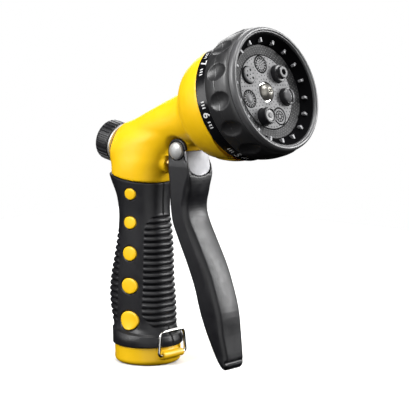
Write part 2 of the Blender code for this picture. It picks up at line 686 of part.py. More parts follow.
def make_selector():
    """The rotating core: a disc with seven ports and a hub on the centre screw."""
    black = material("black_plastic", BLACK, 0.5, 0.0)
    steel = material("bright_steel", STEEL, 0.25, 1.0)
    hub = [(3.9, -9.6), (7.5, -9.6), (7.5, -23.4), (31.2, -23.8), (31.2, -28.8), (3.9, -28.8)]
    disc = turned("selector_disc", hub, HEAD, black, steps=28, ring=True)
    for i in range(OUTLET_COUNT):
        angle = 360.0 * i / OUTLET_COUNT
        port = cylinder("port_hole", 2.6, -32.0, -20.0,
                        offset(HEAD, *clock(OUTLET_CIRCLE_R, angle)), steps=10)
        dimple = cylinder("click_dimple", 1.6, -30.0, -28.1,
                          offset(HEAD, *clock(DETENT_CIRCLE_R, angle + 180.0)), steps=8)
        cut(disc, port, dimple)
    tube("pivot_sleeve", 3.5, 2.4, -29.2, -9.2, HEAD, steel, steps=16)

    screw = [(0.0, -4.2), (1.4, -4.35), (3.1, -5.0), (4.4, -6.1), (4.9, -7.3), (4.9, -8.0),
             (2.0, -8.0), (1.7, -30.0), (1.7, -43.0), (0.0, -43.0)]
    turned("turret_screw", screw, HEAD, steel, steps=14)
    tube("screw_washer", 5.6, 2.4, -8.9, -8.3, HEAD, steel, steps=14)

    ball = bmesh.new()
    bmesh.ops.create_uvsphere(ball, u_segments=10, v_segments=6, radius=1.9 * MM)
    place = offset(HEAD, *clock(DETENT_CIRCLE_R, 180.0), -31.1)
    from_bmesh("detent_ball", ball, place, steel)


def make_turret():
    black = material("turret_black", BLACK, 0.45, 0.0)
    gloss = material("band_gloss", BLACK, 0.12, 0.0)
    grey = material("ring_grey", GREY, 0.4, 0.0)
    light = material("plate_grey", LIGHT, 0.5, 0.0)
    dark = material("annulus_grey", GREY, 0.6, 0.0)

    tube("label_band", 34.9, 31.6, -28.8, -21.1, HEAD, gloss, steps=30)
    shell = [(30.3, -20.8), (30.3, -5.4), (31.0, -2.8), (35.9, -2.8), (37.0, -4.6),
             (SHELL_R, -8.0), (SHELL_R, -14.0), (36.9, -18.0), (35.8, -20.8)]
    cup = turned("turret_shell", shell, HEAD, black, steps=28, ring=True)
    for i in range(SCALLOP_COUNT):
        angle = math.radians(SCALLOP_PHASE + 360.0 * i / SCALLOP_COUNT)
        scoop = bmesh.new()
        bmesh.ops.create_uvsphere(scoop, u_segments=8, v_segments=6, radius=1.0)
        bmesh.ops.scale(scoop, vec=Vector((3.6, 6.0, 8.2)) * MM, verts=scoop.verts)
        place = HEAD @ Matrix.Rotation(math.pi - angle, 4, "Z")
        cut(cup, from_bmesh("finger_scoop", scoop, offset(place, 39.5, 0.0, -11.0)))

    ring = [(LIP_R, -2.5), (LIP_R, 0.2), (32.2, 1.1), (33.6, 1.4), (35.0, 0.9), (RING_R, -0.6),
            (RING_R, -2.5)]
    turned("front_ring", ring, HEAD, grey, steps=30, ring=True)
    annulus = [(21.7, -9.4), (21.7, -7.6), (29.9, -4.8), (29.9, -9.4)]
    turned("spray_annulus", annulus, HEAD, dark, steps=28, ring=True)

    plate = tube("pattern_plate", 21.4, 6.0, -9.4, PLATE_FACE, HEAD, light, steps=28)
    for i in range(OUTLET_COUNT):
        hole = cylinder("outlet_hole", 5.3, -12.0, -4.0,
                        offset(HEAD, *clock(OUTLET_CIRCLE_R, 360.0 * i / OUTLET_COUNT)), steps=12)
        cut(plate, hole)


# outlet name, front face height and nozzle bore, clockwise from the one in use
OUTLETS = (
    ("outlet_1_shower", PLATE_FACE, 2.6),
    ("outlet_2_jet", -2.0, 2.2),
    ("outlet_3_flat", -2.0, 1.6),
    ("outlet_4_cone", PLATE_FACE, 2.4),
    ("outlet_5_mist", -2.0, 1.8),
    ("outlet_6_full", PLATE_FACE, 3.0),
    ("outlet_7_soaker", -5.7, 2.0),
)


def make_outlets():
    black = material("black_plastic", BLACK, 0.5, 0.0)
    light = material("plate_grey", LIGHT, 0.5, 0.0)
    for i, (name, face, bore) in enumerate(OUTLETS):
        place = offset(HEAD, *clock(OUTLET_CIRCLE_R, 360.0 * i / OUTLET_COUNT))
        look = black if i in (1, 2, 4) else light
        profile = [(bore, face), (4.5, face), (4.9, face - 0.4), (4.9, -23.2), (3.6, -23.2),
                   (3.6, face - 1.6), (bore, face - 1.6)]
        turned(name, profile, place, look, steps=12, ring=True)


clear_scene()
PARTS = collection("hose_spray_nozzle")
CUTTERS = collection("cutters")
make_body()
make_grip()
make_inlet()
make_valve()
make_knob()
make_trigger()
make_bail()
make_distributor()
make_selector()
make_turret()
make_outlets()
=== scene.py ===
"""Looks of the hose spray nozzle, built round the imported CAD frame.

Lengths are millimetres in the row frame (+Z up the handle, +X the spraying side) and MM turns them
into metres. Free forms are skinned from distance fields, round pieces are turned from profiles,
and every piece rides on the CAD body of the node that it stands for.
"""

import itertools
import json
import math

import bmesh
import bpy
import numpy as np
from mathutils import Matrix, Vector


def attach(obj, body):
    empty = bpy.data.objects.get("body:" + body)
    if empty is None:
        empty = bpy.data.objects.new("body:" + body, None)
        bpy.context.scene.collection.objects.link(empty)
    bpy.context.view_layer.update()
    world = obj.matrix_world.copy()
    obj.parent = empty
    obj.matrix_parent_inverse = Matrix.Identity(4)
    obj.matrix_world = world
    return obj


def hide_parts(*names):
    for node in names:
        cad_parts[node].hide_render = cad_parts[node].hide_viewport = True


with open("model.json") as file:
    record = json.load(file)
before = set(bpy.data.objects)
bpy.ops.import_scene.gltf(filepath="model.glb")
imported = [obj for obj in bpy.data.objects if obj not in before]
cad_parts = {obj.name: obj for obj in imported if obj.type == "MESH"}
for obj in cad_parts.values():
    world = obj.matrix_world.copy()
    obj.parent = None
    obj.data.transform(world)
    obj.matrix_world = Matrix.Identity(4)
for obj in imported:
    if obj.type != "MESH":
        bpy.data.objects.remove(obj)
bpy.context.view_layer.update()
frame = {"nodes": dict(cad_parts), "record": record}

MM = 0.001
scene = bpy.context.scene
scene.view_settings.view_transform = "Standard"

# Camera: the photograph's angle
CAMERA_AZIMUTH = 42.36
CAMERA_ELEVATION = 6.67
CAMERA_DISTANCE = 800.0
CAMERA_TARGET = (47.76, -0.11, 100.53)
CAMERA_LENS = 119.17

# Turret: outlets go clockwise from the top, and heights run forwards from the front ring's plane
OUTLETS = 7
OUTLET_CIRCLE = 16.0
OUTLET_R = 4.9
OUTLET_STEPS = 64
PLATE_RIM = 21.4
PLATE_FACE = -7.2
PLATE_BACK = -9.4
OUTLET_BACK = -23.2
BELL_EDGE = -29.2
SCOOPS = 14
SCOOP_PHASE = 8.0
SCOOP_HALF_ANGLE = 7.6
SCOOP_HALF_LENGTH = 7.0
FINS = 18
INK_R = 34.98
INK_PLACE = -25.0
NUMERAL_SIZE = 6.38

# Grip and foot; a dot is its height, place along X, half-width and half-height
SLEEVE_FOOT = 11.3
SLEEVE_WALL = 2.9
RIB_PITCH = 3.7
RIB_DEPTH = 1.55
COLLAR_R = 20.4
DOTS = ((104.2, -1.0, 4.2, 3.4), (86.6, -1.8, 4.9, 3.7), (67.7, -1.4, 5.4, 4.3),
        (47.9, -0.8, 6.1, 4.7), (26.8, 0.0, 7.0, 5.6))

# Trigger and its lock
LEVER_HALF = 10.1
LEVER_INNER = 7.8
RIVET_R = 5.2
PIN_BORE = 2.55
TRIGGER_HOLD = math.radians(16.7)
BAIL_CATCH = math.radians(100.0)
BAIL_REACH = 14.6
BAIL_WIRE_R = 0.95

# Flow knob
KNOB_R = 12.7
KNOB_RIBS = 30


# --- frames -----------------------------------------------------------------------------------

JOINTS = {joint["name"]: joint for joint in frame["record"]["behaviour"]["joints"]}


def axis_frame(origin, axis):
    """A frame at origin, in metres, whose Z lies along axis and whose Y is the row's Y."""
    ax, _, az = axis
    place = Matrix(((az, 0, ax, 0), (0, 1, 0, 0), (-ax, 0, az, 0), (0, 0, 0, 1)))
    place.translation = Vector(origin)
    return place


HEAD = axis_frame(JOINTS["turret_spin"]["pos_m"], JOINTS["turret_spin"]["axis"])
VALVE = axis_frame(JOINTS["knob_turn"]["pos_m"], [-a for a in JOINTS["knob_turn"]["axis"]])
UPRIGHT = Matrix.Identity(4)
PIVOT = [c / MM for c in JOINTS["trigger_pull"]["pos_m"]]
HINGE = [c / MM for c in JOINTS["bail_swing"]["pos_m"]]
ACROSS = Matrix.Translation(Vector(PIVOT) * MM) @ Matrix.Rotation(math.radians(-90.0), 4, "X")


def within(place, x, y, z):
    """Row coordinates seen from a frame: (x, y, z) in millimetres."""
    back = np.array(place.inverted())
    return tuple(back[i, 0] * x + back[i, 1] * y + back[i, 2] * z + back[i, 3] / MM
                 for i in range(3))


def placed(place, points):
    """Points in a frame's millimetres as row metres."""
    turn = np.array(place)
    return np.asarray(points, float) * MM @ turn[:3, :3].T + turn[:3, 3]


def clock(radius, degrees):
    """A place on the turret, in degrees clockwise from the top as seen from the front."""
    turn = math.radians(degrees)
    return -radius * math.cos(turn), radius * math.sin(turn)


# --- materials --------------------------------------------------------------------------------

def surface(name, colour, rough, metallic=0.0, grain=0.0, grain_size=0.4, mottle=0.04,
            rough_drift=0.06, specular=0.5, scratches=0.0):
    """A procedural finish: a fine grain in bump, slow drifts in colour and roughness."""
    made = bpy.data.materials.new(name)
    made.use_nodes = True
    nodes, links = made.node_tree.nodes, made.node_tree.links
    shader = nodes["Principled BSDF"]
    shader.inputs["Metallic"].default_value = metallic
    shader.inputs["Specular IOR Level"].default_value = specular
    where = nodes.new("ShaderNodeTexCoord")

    def noise(size, detail, stretch=None):
        texture = nodes.new("ShaderNodeTexNoise")
        texture.inputs["Scale"].default_value = 1.0 / (size * MM)
        texture.inputs["Detail"].default_value = detail
        source = where.outputs["Object"]
        if stretch:
            mapping = nodes.new("ShaderNodeMapping")
            mapping.inputs["Scale"].default_value = stretch
            links.new(source, mapping.inputs["Vector"])
            source = mapping.outputs["Vector"]
        links.new(source, texture.inputs["Vector"])
        return texture.outputs["Fac"]

    def drift(source, low, high):
        reach = nodes.new("ShaderNodeMapRange")
        reach.inputs["From Min"].default_value = 0.3
        reach.inputs["From Max"].default_value = 0.7
        reach.inputs["To Min"].default_value = low
        reach.inputs["To Max"].default_value = high
        links.new(source, reach.inputs["Value"])
        return reach.outputs["Result"]

    slow = noise(14.0, 3.0)
    blend = nodes.new("ShaderNodeMix")
    blend.data_type = "RGBA"
    blend.inputs["A"].default_value = (*[c * (1.0 - mottle) for c in colour], 1.0)
    blend.inputs["B"].default_value = (*[min(1.0, c * (1.0 + mottle)) for c in colour], 1.0)
    links.new(drift(slow, 0.0, 1.0), blend.inputs["Factor"])
    links.new(blend.outputs["Result"], shader.inputs["Base Color"])
    links.new(drift(noise(5.0, 4.0), rough - rough_drift, rough + rough_drift),
              shader.inputs["Roughness"])
    if grain:
        bump = nodes.new("ShaderNodeBump")
        bump.inputs["Strength"].default_value = grain
        bump.inputs["Distance"].default_value = 0.1 * MM
        height = noise(grain_size, 2.0)
        if scratches:
            fine = nodes.new("ShaderNodeMath")
            fine.operation = "MULTIPLY_ADD"
            links.new(noise(0.25, 2.0, stretch=(1.0, 0.05, 1.0)), fine.inputs[0])
            fine.inputs[1].default_value = scratches
            links.new(height, fine.inputs[2])
            height = fine.outputs["Value"]
        links.new(height, bump.inputs["Height"])
        links.new(bump.outputs["Normal"], shader.inputs["Normal"])
    return made


YELLOW = surface("yellow_enamel_look", (0.95, 0.565, 0.006), 0.38, grain=0.10, grain_size=1.6,
                 mottle=0.03, specular=0.6)
RUBBER = surface("grip_rubber_look", (0.009, 0.009, 0.011), 0.44, grain=0.35, grain_size=0.5,
                 mottle=0.15, specular=0.42)
LEVER = surface("lever_black_look", (0.008, 0.008, 0.010), 0.40, grain=0.30, grain_size=0.35,
                mottle=0.12, specular=0.5)
SILVER = surface("frosted_zinc_look", (0.25, 0.25, 0.26), 0.50, metallic=0.75, grain=0.55,
                 grain_size=0.45, mottle=0.10)
RIVET = surface("rivet_look", (0.50, 0.50, 0.50), 0.50, metallic=0.6, grain=0.30,
                grain_size=0.4, mottle=0.08)
CHROME = surface("chrome_look", (0.62, 0.61, 0.59), 0.24, metallic=1.0, grain=0.08,
                 grain_size=0.8, mottle=0.05)
NICKEL = surface("satin_nickel_look", (0.60, 0.58, 0.54), 0.40, metallic=0.6, grain=0.2,
                 grain_size=0.3, scratches=1.0)
BRASS = surface("brass_look", (0.62, 0.42, 0.16), 0.32, metallic=1.0, grain=0.2, grain_size=0.6,
                mottle=0.12, scratches=0.8)
SHELL = surface("turret_shell_look", (0.020, 0.020, 0.021), 0.38, grain=0.28,
                grain_size=0.45, mottle=0.12, specular=0.65)
BAND = surface("band_gloss_look", (0.005, 0.005, 0.006), 0.18, specular=0.5, grain=0.03, grain_size=2.0,
               mottle=0.1, rough_drift=0.03)
RING = surface("front_ring_look", (0.065, 0.065, 0.068), 0.36, specular=0.7, grain=0.18, grain_size=0.4,
               mottle=0.06)
# Painted shade: the cup's wall is the shell's black plastic made darker and nearly glossless, for the
# shade in the deep recess
CUP_SHADE = surface("cup_wall_painted_shade", (0.002, 0.002, 0.0025), 0.7, specular=0.03, grain=0.2, mottle=0.1)
FIN = surface("fin_look", (0.26, 0.26, 0.27), 0.45, grain=0.2, mottle=0.1)
ANNULUS = surface("annulus_look", (0.006, 0.006, 0.007), 0.5, specular=0.25, grain=0.5, grain_size=0.9,
                  mottle=0.15)
PIT = surface("pit_look", (0.05, 0.05, 0.052), 0.5, mottle=0.2)
PLATE = surface("plate_look", (0.12, 0.12, 0.124), 0.45, grain=0.3, grain_size=0.4, mottle=0.06,
                specular=0.35)
# Painted shade: near-black marks laid on faces where holes, slots and gaps are, standing for the shade
# inside them
HOLE_SHADE = surface("painted_hole_shade", (0.003, 0.003, 0.003), 0.7, mottle=0.2, specular=0.08)
BLACK = surface("black_plastic_look", (0.014, 0.014, 0.016), 0.36, grain=0.2,
                grain_size=0.5, mottle=0.1, specular=0.6)
# Partly its own grey, partly painted highlight: lighter to stand in for the reflections on the dome's
# glossy faces
DOME_HIGHLIGHT = surface("dome_painted_highlight", (0.16, 0.16, 0.165), 0.25, mottle=0.1)
SCREW = surface("screw_look", (0.36, 0.345, 0.31), 0.42, metallic=0.9, grain=0.1, mottle=0.08)
INK = surface("white_ink_look", (0.70, 0.70, 0.70), 0.5, mottle=0.04)
SEAL = surface("seal_rubber_look", (0.02, 0.02, 0.02), 0.6, grain=0.3, mottle=0.1)


# --- geometry ---------------------------------------------------------------------------------

def outward(points, faces):
    """Faces turned so that the solid's volume is positive."""
    volume = 0.0
    for size in {len(face) for face in faces}:
        some = points[np.array([face for face in faces if len(face) == size])]
        for k in range(1, size - 1):
            volume += np.einsum("ij,ij->", some[:, 0], np.cross(some[:, k], some[:, k + 1]))
    return faces if volume > 0.0 else [list(face)[::-1] for face in faces]


def rounded(corners, radius, detail=4, closed=True):
    """A profile with its corners rounded. A corner's third value is its own radius."""
    points = [np.array(corner[:2], float) for corner in corners]
    radii = [corner[2] if len(corner) > 2 else radius for corner in corners]
    last, result = len(points) - 1, []
    for i, point in enumerate(points):
        if not closed and i in (0, last):
            result.append(point)
            continue
        before, after = points[i - 1] - point, points[(i + 1) % len(points)] - point
        reach = min(radii[i], 0.48 * np.hypot(*before), 0.48 * np.hypot(*after))
        if reach < 0.01:
            result.append(point)
            continue
        start = point + before / np.hypot(*before) * reach
        end = point + after / np.hypot(*after) * reach
        for k in range(detail + 1):
            t = k / detail
            result.append((1 - t) ** 2 * start + 2 * t * (1 - t) * point + t * t * end)
    return np.array(result)


def split(profile, longest, closed=True):
    """A profile with its long edges divided."""
    result = []
    count = len(profile) if closed else len(profile) - 1
    for i in range(count):
        a, b = profile[i], profile[(i + 1) % len(profile)]
        parts = max(1, int(np.hypot(*(b - a)) / longest))
        result += [a + (b - a) * k / parts for k in range(parts)]
    if not closed:
        result.append(profile[-1])
    return np.array(result)


def loft(index, wrap=False):
    """Faces between each ring of vertex numbers and the next; a number met twice is dropped."""
    lower = index if wrap else index[:-1]
    upper = np.roll(index, -1, 0) if wrap else index[1:]
    quads = np.stack((lower, np.roll(lower, -1, 1), np.roll(upper, -1, 1), upper), -1)
    faces = [list(dict.fromkeys(quad)) for quad in quads.reshape(-1, 4).tolist()]
    return [face for face in faces if len(face) > 2]


def lathe(profile, place, steps=96, shape=None, closed=True):
    """Turn a (radius, height) profile. shape(r, z, angle) may displace it."""
    profile = np.asarray(profile, float)
    angle = np.arange(steps) * math.tau / steps
    r, z = (np.repeat(profile[:, k:k + 1], steps, 1) for k in (0, 1))
    if shape:
        r, z = shape(r, z, angle[None, :])
    points = np.stack((-r * np.cos(angle), r * np.sin(angle), z), -1).reshape(-1, 3)
    index = np.arange(len(points)).reshape(-1, steps)
    if not closed:
        for row in (0, -1):
            if profile[row, 0] < 1e-6:
                index[row] = index[row, 0]
    faces = loft(index, wrap=closed)
    used = np.unique([i for face in faces for i in face])
    renumber = np.zeros(len(points), int)
    renumber[used] = np.arange(len(used))
    points = placed(place, points[used])
    return points, outward(points, [renumber[face].tolist() for face in faces])


def skin(field, low, high, step, place=UPRIGHT):
    """The zero surface of a distance field, one vertex to a cell, drawn onto the surface."""
    axes = [np.arange(a, b + step, step) for a, b in zip(low, high)]
    grid = np.meshgrid(*axes, indexing="ij", sparse=True)
    shape = tuple(len(a) for a in axes)
    value = np.broadcast_to(field(*grid), shape).astype(np.float32)
    inside = value < 0.0
    count = sum(inside[i:shape[0] - 1 + i, j:shape[1] - 1 + j, k:shape[2] - 1 + k].astype(np.int8)
                for i in (0, 1) for j in (0, 1) for k in (0, 1))
    cells = np.argwhere((count > 0) & (count < 8))
    number = -np.ones(count.shape, np.int64)
    number[tuple(cells.T)] = np.arange(len(cells))
    total, crossings = np.zeros((len(cells), 3)), np.zeros(len(cells))
    corners = [np.array((i, j, k)) for i in (0, 1) for j in (0, 1) for k in (0, 1)]
    for a in corners:
        for axis in range(3):
            if a[axis]:
                continue
            b = a.copy()
            b[axis] = 1
            da, db = value[tuple((cells + a).T)], value[tuple((cells + b).T)]
            crosses = (da < 0.0) != (db < 0.0)
            t = np.where(crosses, da / np.where(crosses, da - db, 1.0), 0.0)
            total += (crosses[:, None]) * (a + t[:, None] * (b - a))
            crossings += crosses
    points = np.array(low) + step * (cells + total / crossings[:, None])
    faces = []
    for axis in range(3):
        one, two = (axis + 1) % 3, (axis + 2) % 3
        first = np.take(inside, range(shape[axis] - 1), axis)
        second = np.take(inside, range(1, shape[axis]), axis)
        edge = np.argwhere(first != second)
        keep = ((edge[:, one] > 0) & (edge[:, one] < shape[one] - 1)
                & (edge[:, two] > 0) & (edge[:, two] < shape[two] - 1))
        edge = edge[keep]
        around = []
        for du, dv in ((1, 1), (0, 1), (0, 0), (1, 0)):
            cell = edge.copy()
            cell[:, one] -= du
            cell[:, two] -= dv
            around.append(number[tuple(cell.T)])
        quad = np.stack(around, -1)
        leaving = first[tuple(edge.T)]
        quad[~leaving] = quad[~leaving][:, ::-1]
        faces += quad.tolist()
    probe = 0.06
    for _ in range(2):
        slope = []
        for nudge in probe * np.eye(3):
            slope.append((field(*(points + nudge).T) - field(*(points - nudge).T)) / (2 * probe))
        slope = np.stack(slope, -1)
        step_in = (field(*points.T) / np.maximum((slope ** 2).sum(-1), 0.15))[:, None] * slope
        points = points - np.clip(step_in, -0.5 * step, 0.5 * step)
    points = placed(place, points)
    return points, outward(points, faces)


def tube(path, radius, sides=16):
    """A round bar along a path in row millimetres."""
    ahead = np.gradient(path, axis=0)
    ahead /= np.linalg.norm(ahead, axis=1)[:, None]
    side = np.cross(ahead, (1.0, 0.0, 0.0))
    side /= np.linalg.norm(side, axis=1)[:, None]
    up = np.cross(side, ahead)
    turns = np.arange(sides) * math.tau / sides
    rings = (path[:, None] + radius * (np.cos(turns)[None, :, None] * side[:, None]
                                       + np.sin(turns)[None, :, None] * up[:, None]))
    points = placed(UPRIGHT, rings.reshape(-1, 3))
    index = np.arange(len(points)).reshape(len(path), sides)
    return points, outward(points, loft(index) + [index[0][::-1].tolist(), index[-1].tolist()])


def block(low, high, place, bevel=0.2):
    """A small box with chamfered edges, as the hull of its six inset faces."""
    centre, half = np.add(low, high) / 2, np.subtract(high, low) / 2
    shape = bmesh.new()
    for axis in range(3):
        for signs in itertools.product((-1, 1), repeat=3):
            corner = signs * (half - bevel)
            corner[axis] = signs[axis] * half[axis]
            shape.verts.new(centre + corner)
    bmesh.ops.convex_hull(shape, input=shape.verts)
    shape.verts.index_update()
    points = placed(place, np.array([vertex.co for vertex in shape.verts]))
    faces = [[vertex.index for vertex in face.verts] for face in shape.faces]
    shape.free()
    return points, outward(points, faces)


def discs(places, radius, place, height, sides=8):
    """Small flat round marks at (x, y) places, facing up the frame's Z."""
    points, faces = [], []
    for x, y in places:
        start = len(points)
        for k in range(sides):
            a = math.tau * k / sides
            points.append((x + radius * math.cos(a), y + radius * math.sin(a),
                           height(x, y) if callable(height) else height))
        faces.append(list(range(start, start + sides)))
    return placed(place, np.array(points)), faces


def piece(name, solids, body, slot, *nodes):
    """One object from (points, faces, material) solids, riding on a CAD body."""
    mesh = bpy.data.meshes.new(name)
    points, faces, looks, which = [], [], [], []
    start = 0
    for solid_points, solid_faces, look in solids:
        if look not in looks:
            looks.append(look)
        points.append(solid_points)
        faces += [[i + start for i in face] for face in solid_faces]
        which += [looks.index(look)] * len(solid_faces)
        start += len(solid_points)
    mesh.from_pydata(np.concatenate(points).tolist(), [], faces)
    for look in looks:
        mesh.materials.append(look)
    mesh.polygons.foreach_set("material_index", which)
    mesh.shade_smooth()
    mesh.set_sharp_from_angle(angle=math.radians(38.0))
    mesh.update()
    obj = bpy.data.objects.new(name, mesh)
    scene.collection.objects.link(obj)
    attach(obj, body)
    if nodes:
        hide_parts(*nodes)
    return obj


# --- distance fields --------------------------------------------------------------------------

def soft_min(a, b, k):
    """Two fields joined, with a fillet about k wide."""
    h = np.clip(0.5 + 0.5 * (b - a) / k, 0.0, 1.0)
    return b + (a - b) * h - k * h * (1.0 - h)


def soft_max(a, b, k):
    """What two fields share, with the same fillet."""
    return -soft_min(-a, -b, k)


def step_up(value, start, end):
    """A smooth step from 0 at start to 1 at end."""
    t = np.clip((value - start) / (end - start), 0.0, 1.0)
    return t * t * (3.0 - 2.0 * t)


def smooth_rows(rows, count=400):
    """A table's columns interpolated smoothly, for numpy.interp."""
    rows = np.array(rows, float)
    key = rows[:, 0]
    slope = np.gradient(rows[:, 1:], key, axis=0)
    at = np.linspace(key[0], key[-1], count)
    i = np.clip(np.searchsorted(key, at, "right") - 1, 0, len(key) - 2)
    width = (key[i + 1] - key[i])[:, None]
    t = ((at - key[i]) / width[:, 0])[:, None]
    a, b = rows[i, 1:], rows[i + 1, 1:]
    values = ((2 * t**3 - 3 * t**2 + 1) * a + (t**3 - 2 * t**2 + t) * slope[i] * width
              + (3 * t**2 - 2 * t**3) * b + (t**3 - t**2) * slope[i + 1] * width)
    return at, values


def smooth_outline(points):
    """A closed outline through points, as a Catmull-Rom curve in four steps a span."""
    p = np.array(points, float)
    a, b, c, d = np.roll(p, 1, 0), p, np.roll(p, -1, 0), np.roll(p, -2, 0)
    rows = []
    for t in (0.0, 0.25, 0.5, 0.75):
        rows.append(0.5 * (2 * b + (c - a) * t + (2 * a - 5 * b + 4 * c - d) * t**2
                           + (3 * b - a - 3 * c + d) * t**3))
    return np.stack(rows, 1).reshape(-1, 2)


def outline_distance(u, v, points):
    """Signed distance to a closed outline, negative inside."""
    best, inside = np.inf, False
    for (ax, ay), (bx, by) in zip(points, np.roll(points, -1, 0)):
        ex, ey = bx - ax, by - ay
        wx, wy = u - ax, v - ay
        t = np.clip((wx * ex + wy * ey) / (ex * ex + ey * ey), 0.0, 1.0)
        best = np.minimum(best, (wx - ex * t) ** 2 + (wy - ey * t) ** 2)
        left = ex * wy > ey * wx
        inside = inside ^ (((ay <= v) & (by > v) & left) | ((ay > v) & (by <= v) & ~left))
    return np.where(inside, -1.0, 1.0) * np.sqrt(best)


# --- handle sections --------------------------------------------------------------------------

# height, front, rear, half-width and squareness
GRIP_ROWS = smooth_rows((
    (8.0, 20.9, -20.9, 20.9, 2.0), (11.3, 20.8, -20.8, 20.8, 2.0), (16.6, 20.6, -21.0, 20.5, 2.0),
    (19.4, 19.6, -21.6, 19.0, 2.15), (22.0, 18.4, -22.4, 17.2, 2.3),
    (25.0, 17.8, -23.1, 16.5, 2.4), (31.0, 17.6, -24.4, 16.1, 2.5), (42.0, 17.4, -26.0, 15.5, 2.5),
    (52.0, 16.4, -24.9, 15.1, 2.5), (64.0, 16.2, -22.2, 14.5, 2.5), (78.0, 15.5, -19.3, 13.8, 2.5),
    (92.0, 13.7, -18.4, 13.3, 2.5), (103.0, 13.6, -20.4, 13.9, 2.5),
    (112.0, 14.4, -24.9, 14.8, 2.5), (118.0, 15.4, -27.4, 15.4, 2.5), (122.0, 16.0, -28.5, 15.8, 2.5)))
SHOULDER_ROWS = smooth_rows((
    (100.0, 12.6, -19.6, 13.0, 2.5), (106.0, 13.4, -21.8, 13.8, 2.5),
    (112.0, 14.4, -23.8, 14.8, 2.5), (119.0, 16.8, -24.4, 15.4, 2.4),
    (126.0, 20.4, -24.3, 15.2, 2.4), (133.0, 23.5, -24.0, 14.2, 2.3),
    (139.0, 24.0, -22.5, 12.4, 2.2), (144.0, 22.0, -19.0, 9.5, 2.1), (150.0, 18.0, -14.0, 6.0, 2.0)))


def section(rows, z):
    """Centre, half-depth, half-width and squareness of a handle section at a height."""
    at, values = rows
    front, rear, half, square = (np.interp(z, at, values[:, k]) for k in range(4))
    return (front + rear) / 2.0, (front - rear) / 2.0, half, square


def section_field(rows, x, y, z, inset):
    """Distance from the handle's section, moved inwards by inset."""
    centre, deep, wide, square = section(rows, z)
    deep, wide = deep - inset, wide - inset
    reach = (np.abs((x - centre) / deep) ** square + np.abs(y / wide) ** square) ** (1.0 / square)
    return (reach - 1.0) * np.minimum(deep, wide)


def sleeve_line(x):
    """Height of the line where the rubber ends, falling from the rear to the front."""
    return 111.2 + 0.0030 * (np.minimum(x, 16.0) - 16.0) ** 2


# --- body -------------------------------------------------------------------------------------

# distance behind the front ring's plane, radius of the bell and the barrel
BELL_ROWS = smooth_rows((
    (-150.0, 7.4), (-128.0, 9.2), (-114.0, 10.8), (-102.0, 12.3), (-90.0, 13.8), (-78.0, 15.2),
    (-72.0, 15.8), (-66.0, 16.6), (-61.5, 17.6), (-58.6, 19.0), (-56.0, 21.7), (-53.3, 25.0),
    (-50.0, 28.0), (-46.0, 30.3), (-43.0, 31.4), (-40.0, 32.4), (-37.0, 33.1), (-34.0, 33.6),
    (-31.0, 34.0), (-29.2, 34.1), (-25.0, 34.2)), 900)
HEAD_BORE = np.array(((-99.0, 6.5), (-66.2, 6.5), (-66.0, 7.2), (-55.5, 7.2), (-54.5, 15.0),
                      (-52.0, 22.0), (-46.5, 27.2), (-40.0, 30.2), (-34.0, 31.4), (-20.0, 31.4)))
VALVE_BORE = ((8.3, 44.9, 53.0), (4.6, 39.6, 45.2), (2.8, 36.5, 40.0), (6.0, 29.5, 37.0),
              (4.2, 26.5, 30.0), (8.6, 1.0, 27.0))
LUG = np.array(((12.0, 146.0), (12.0, 128.0), (26.0, 127.2), (34.0, 127.4), (38.2, 129.0),
                (39.4, 132.4), (40.5, 136.0), (48.0, 146.0)))


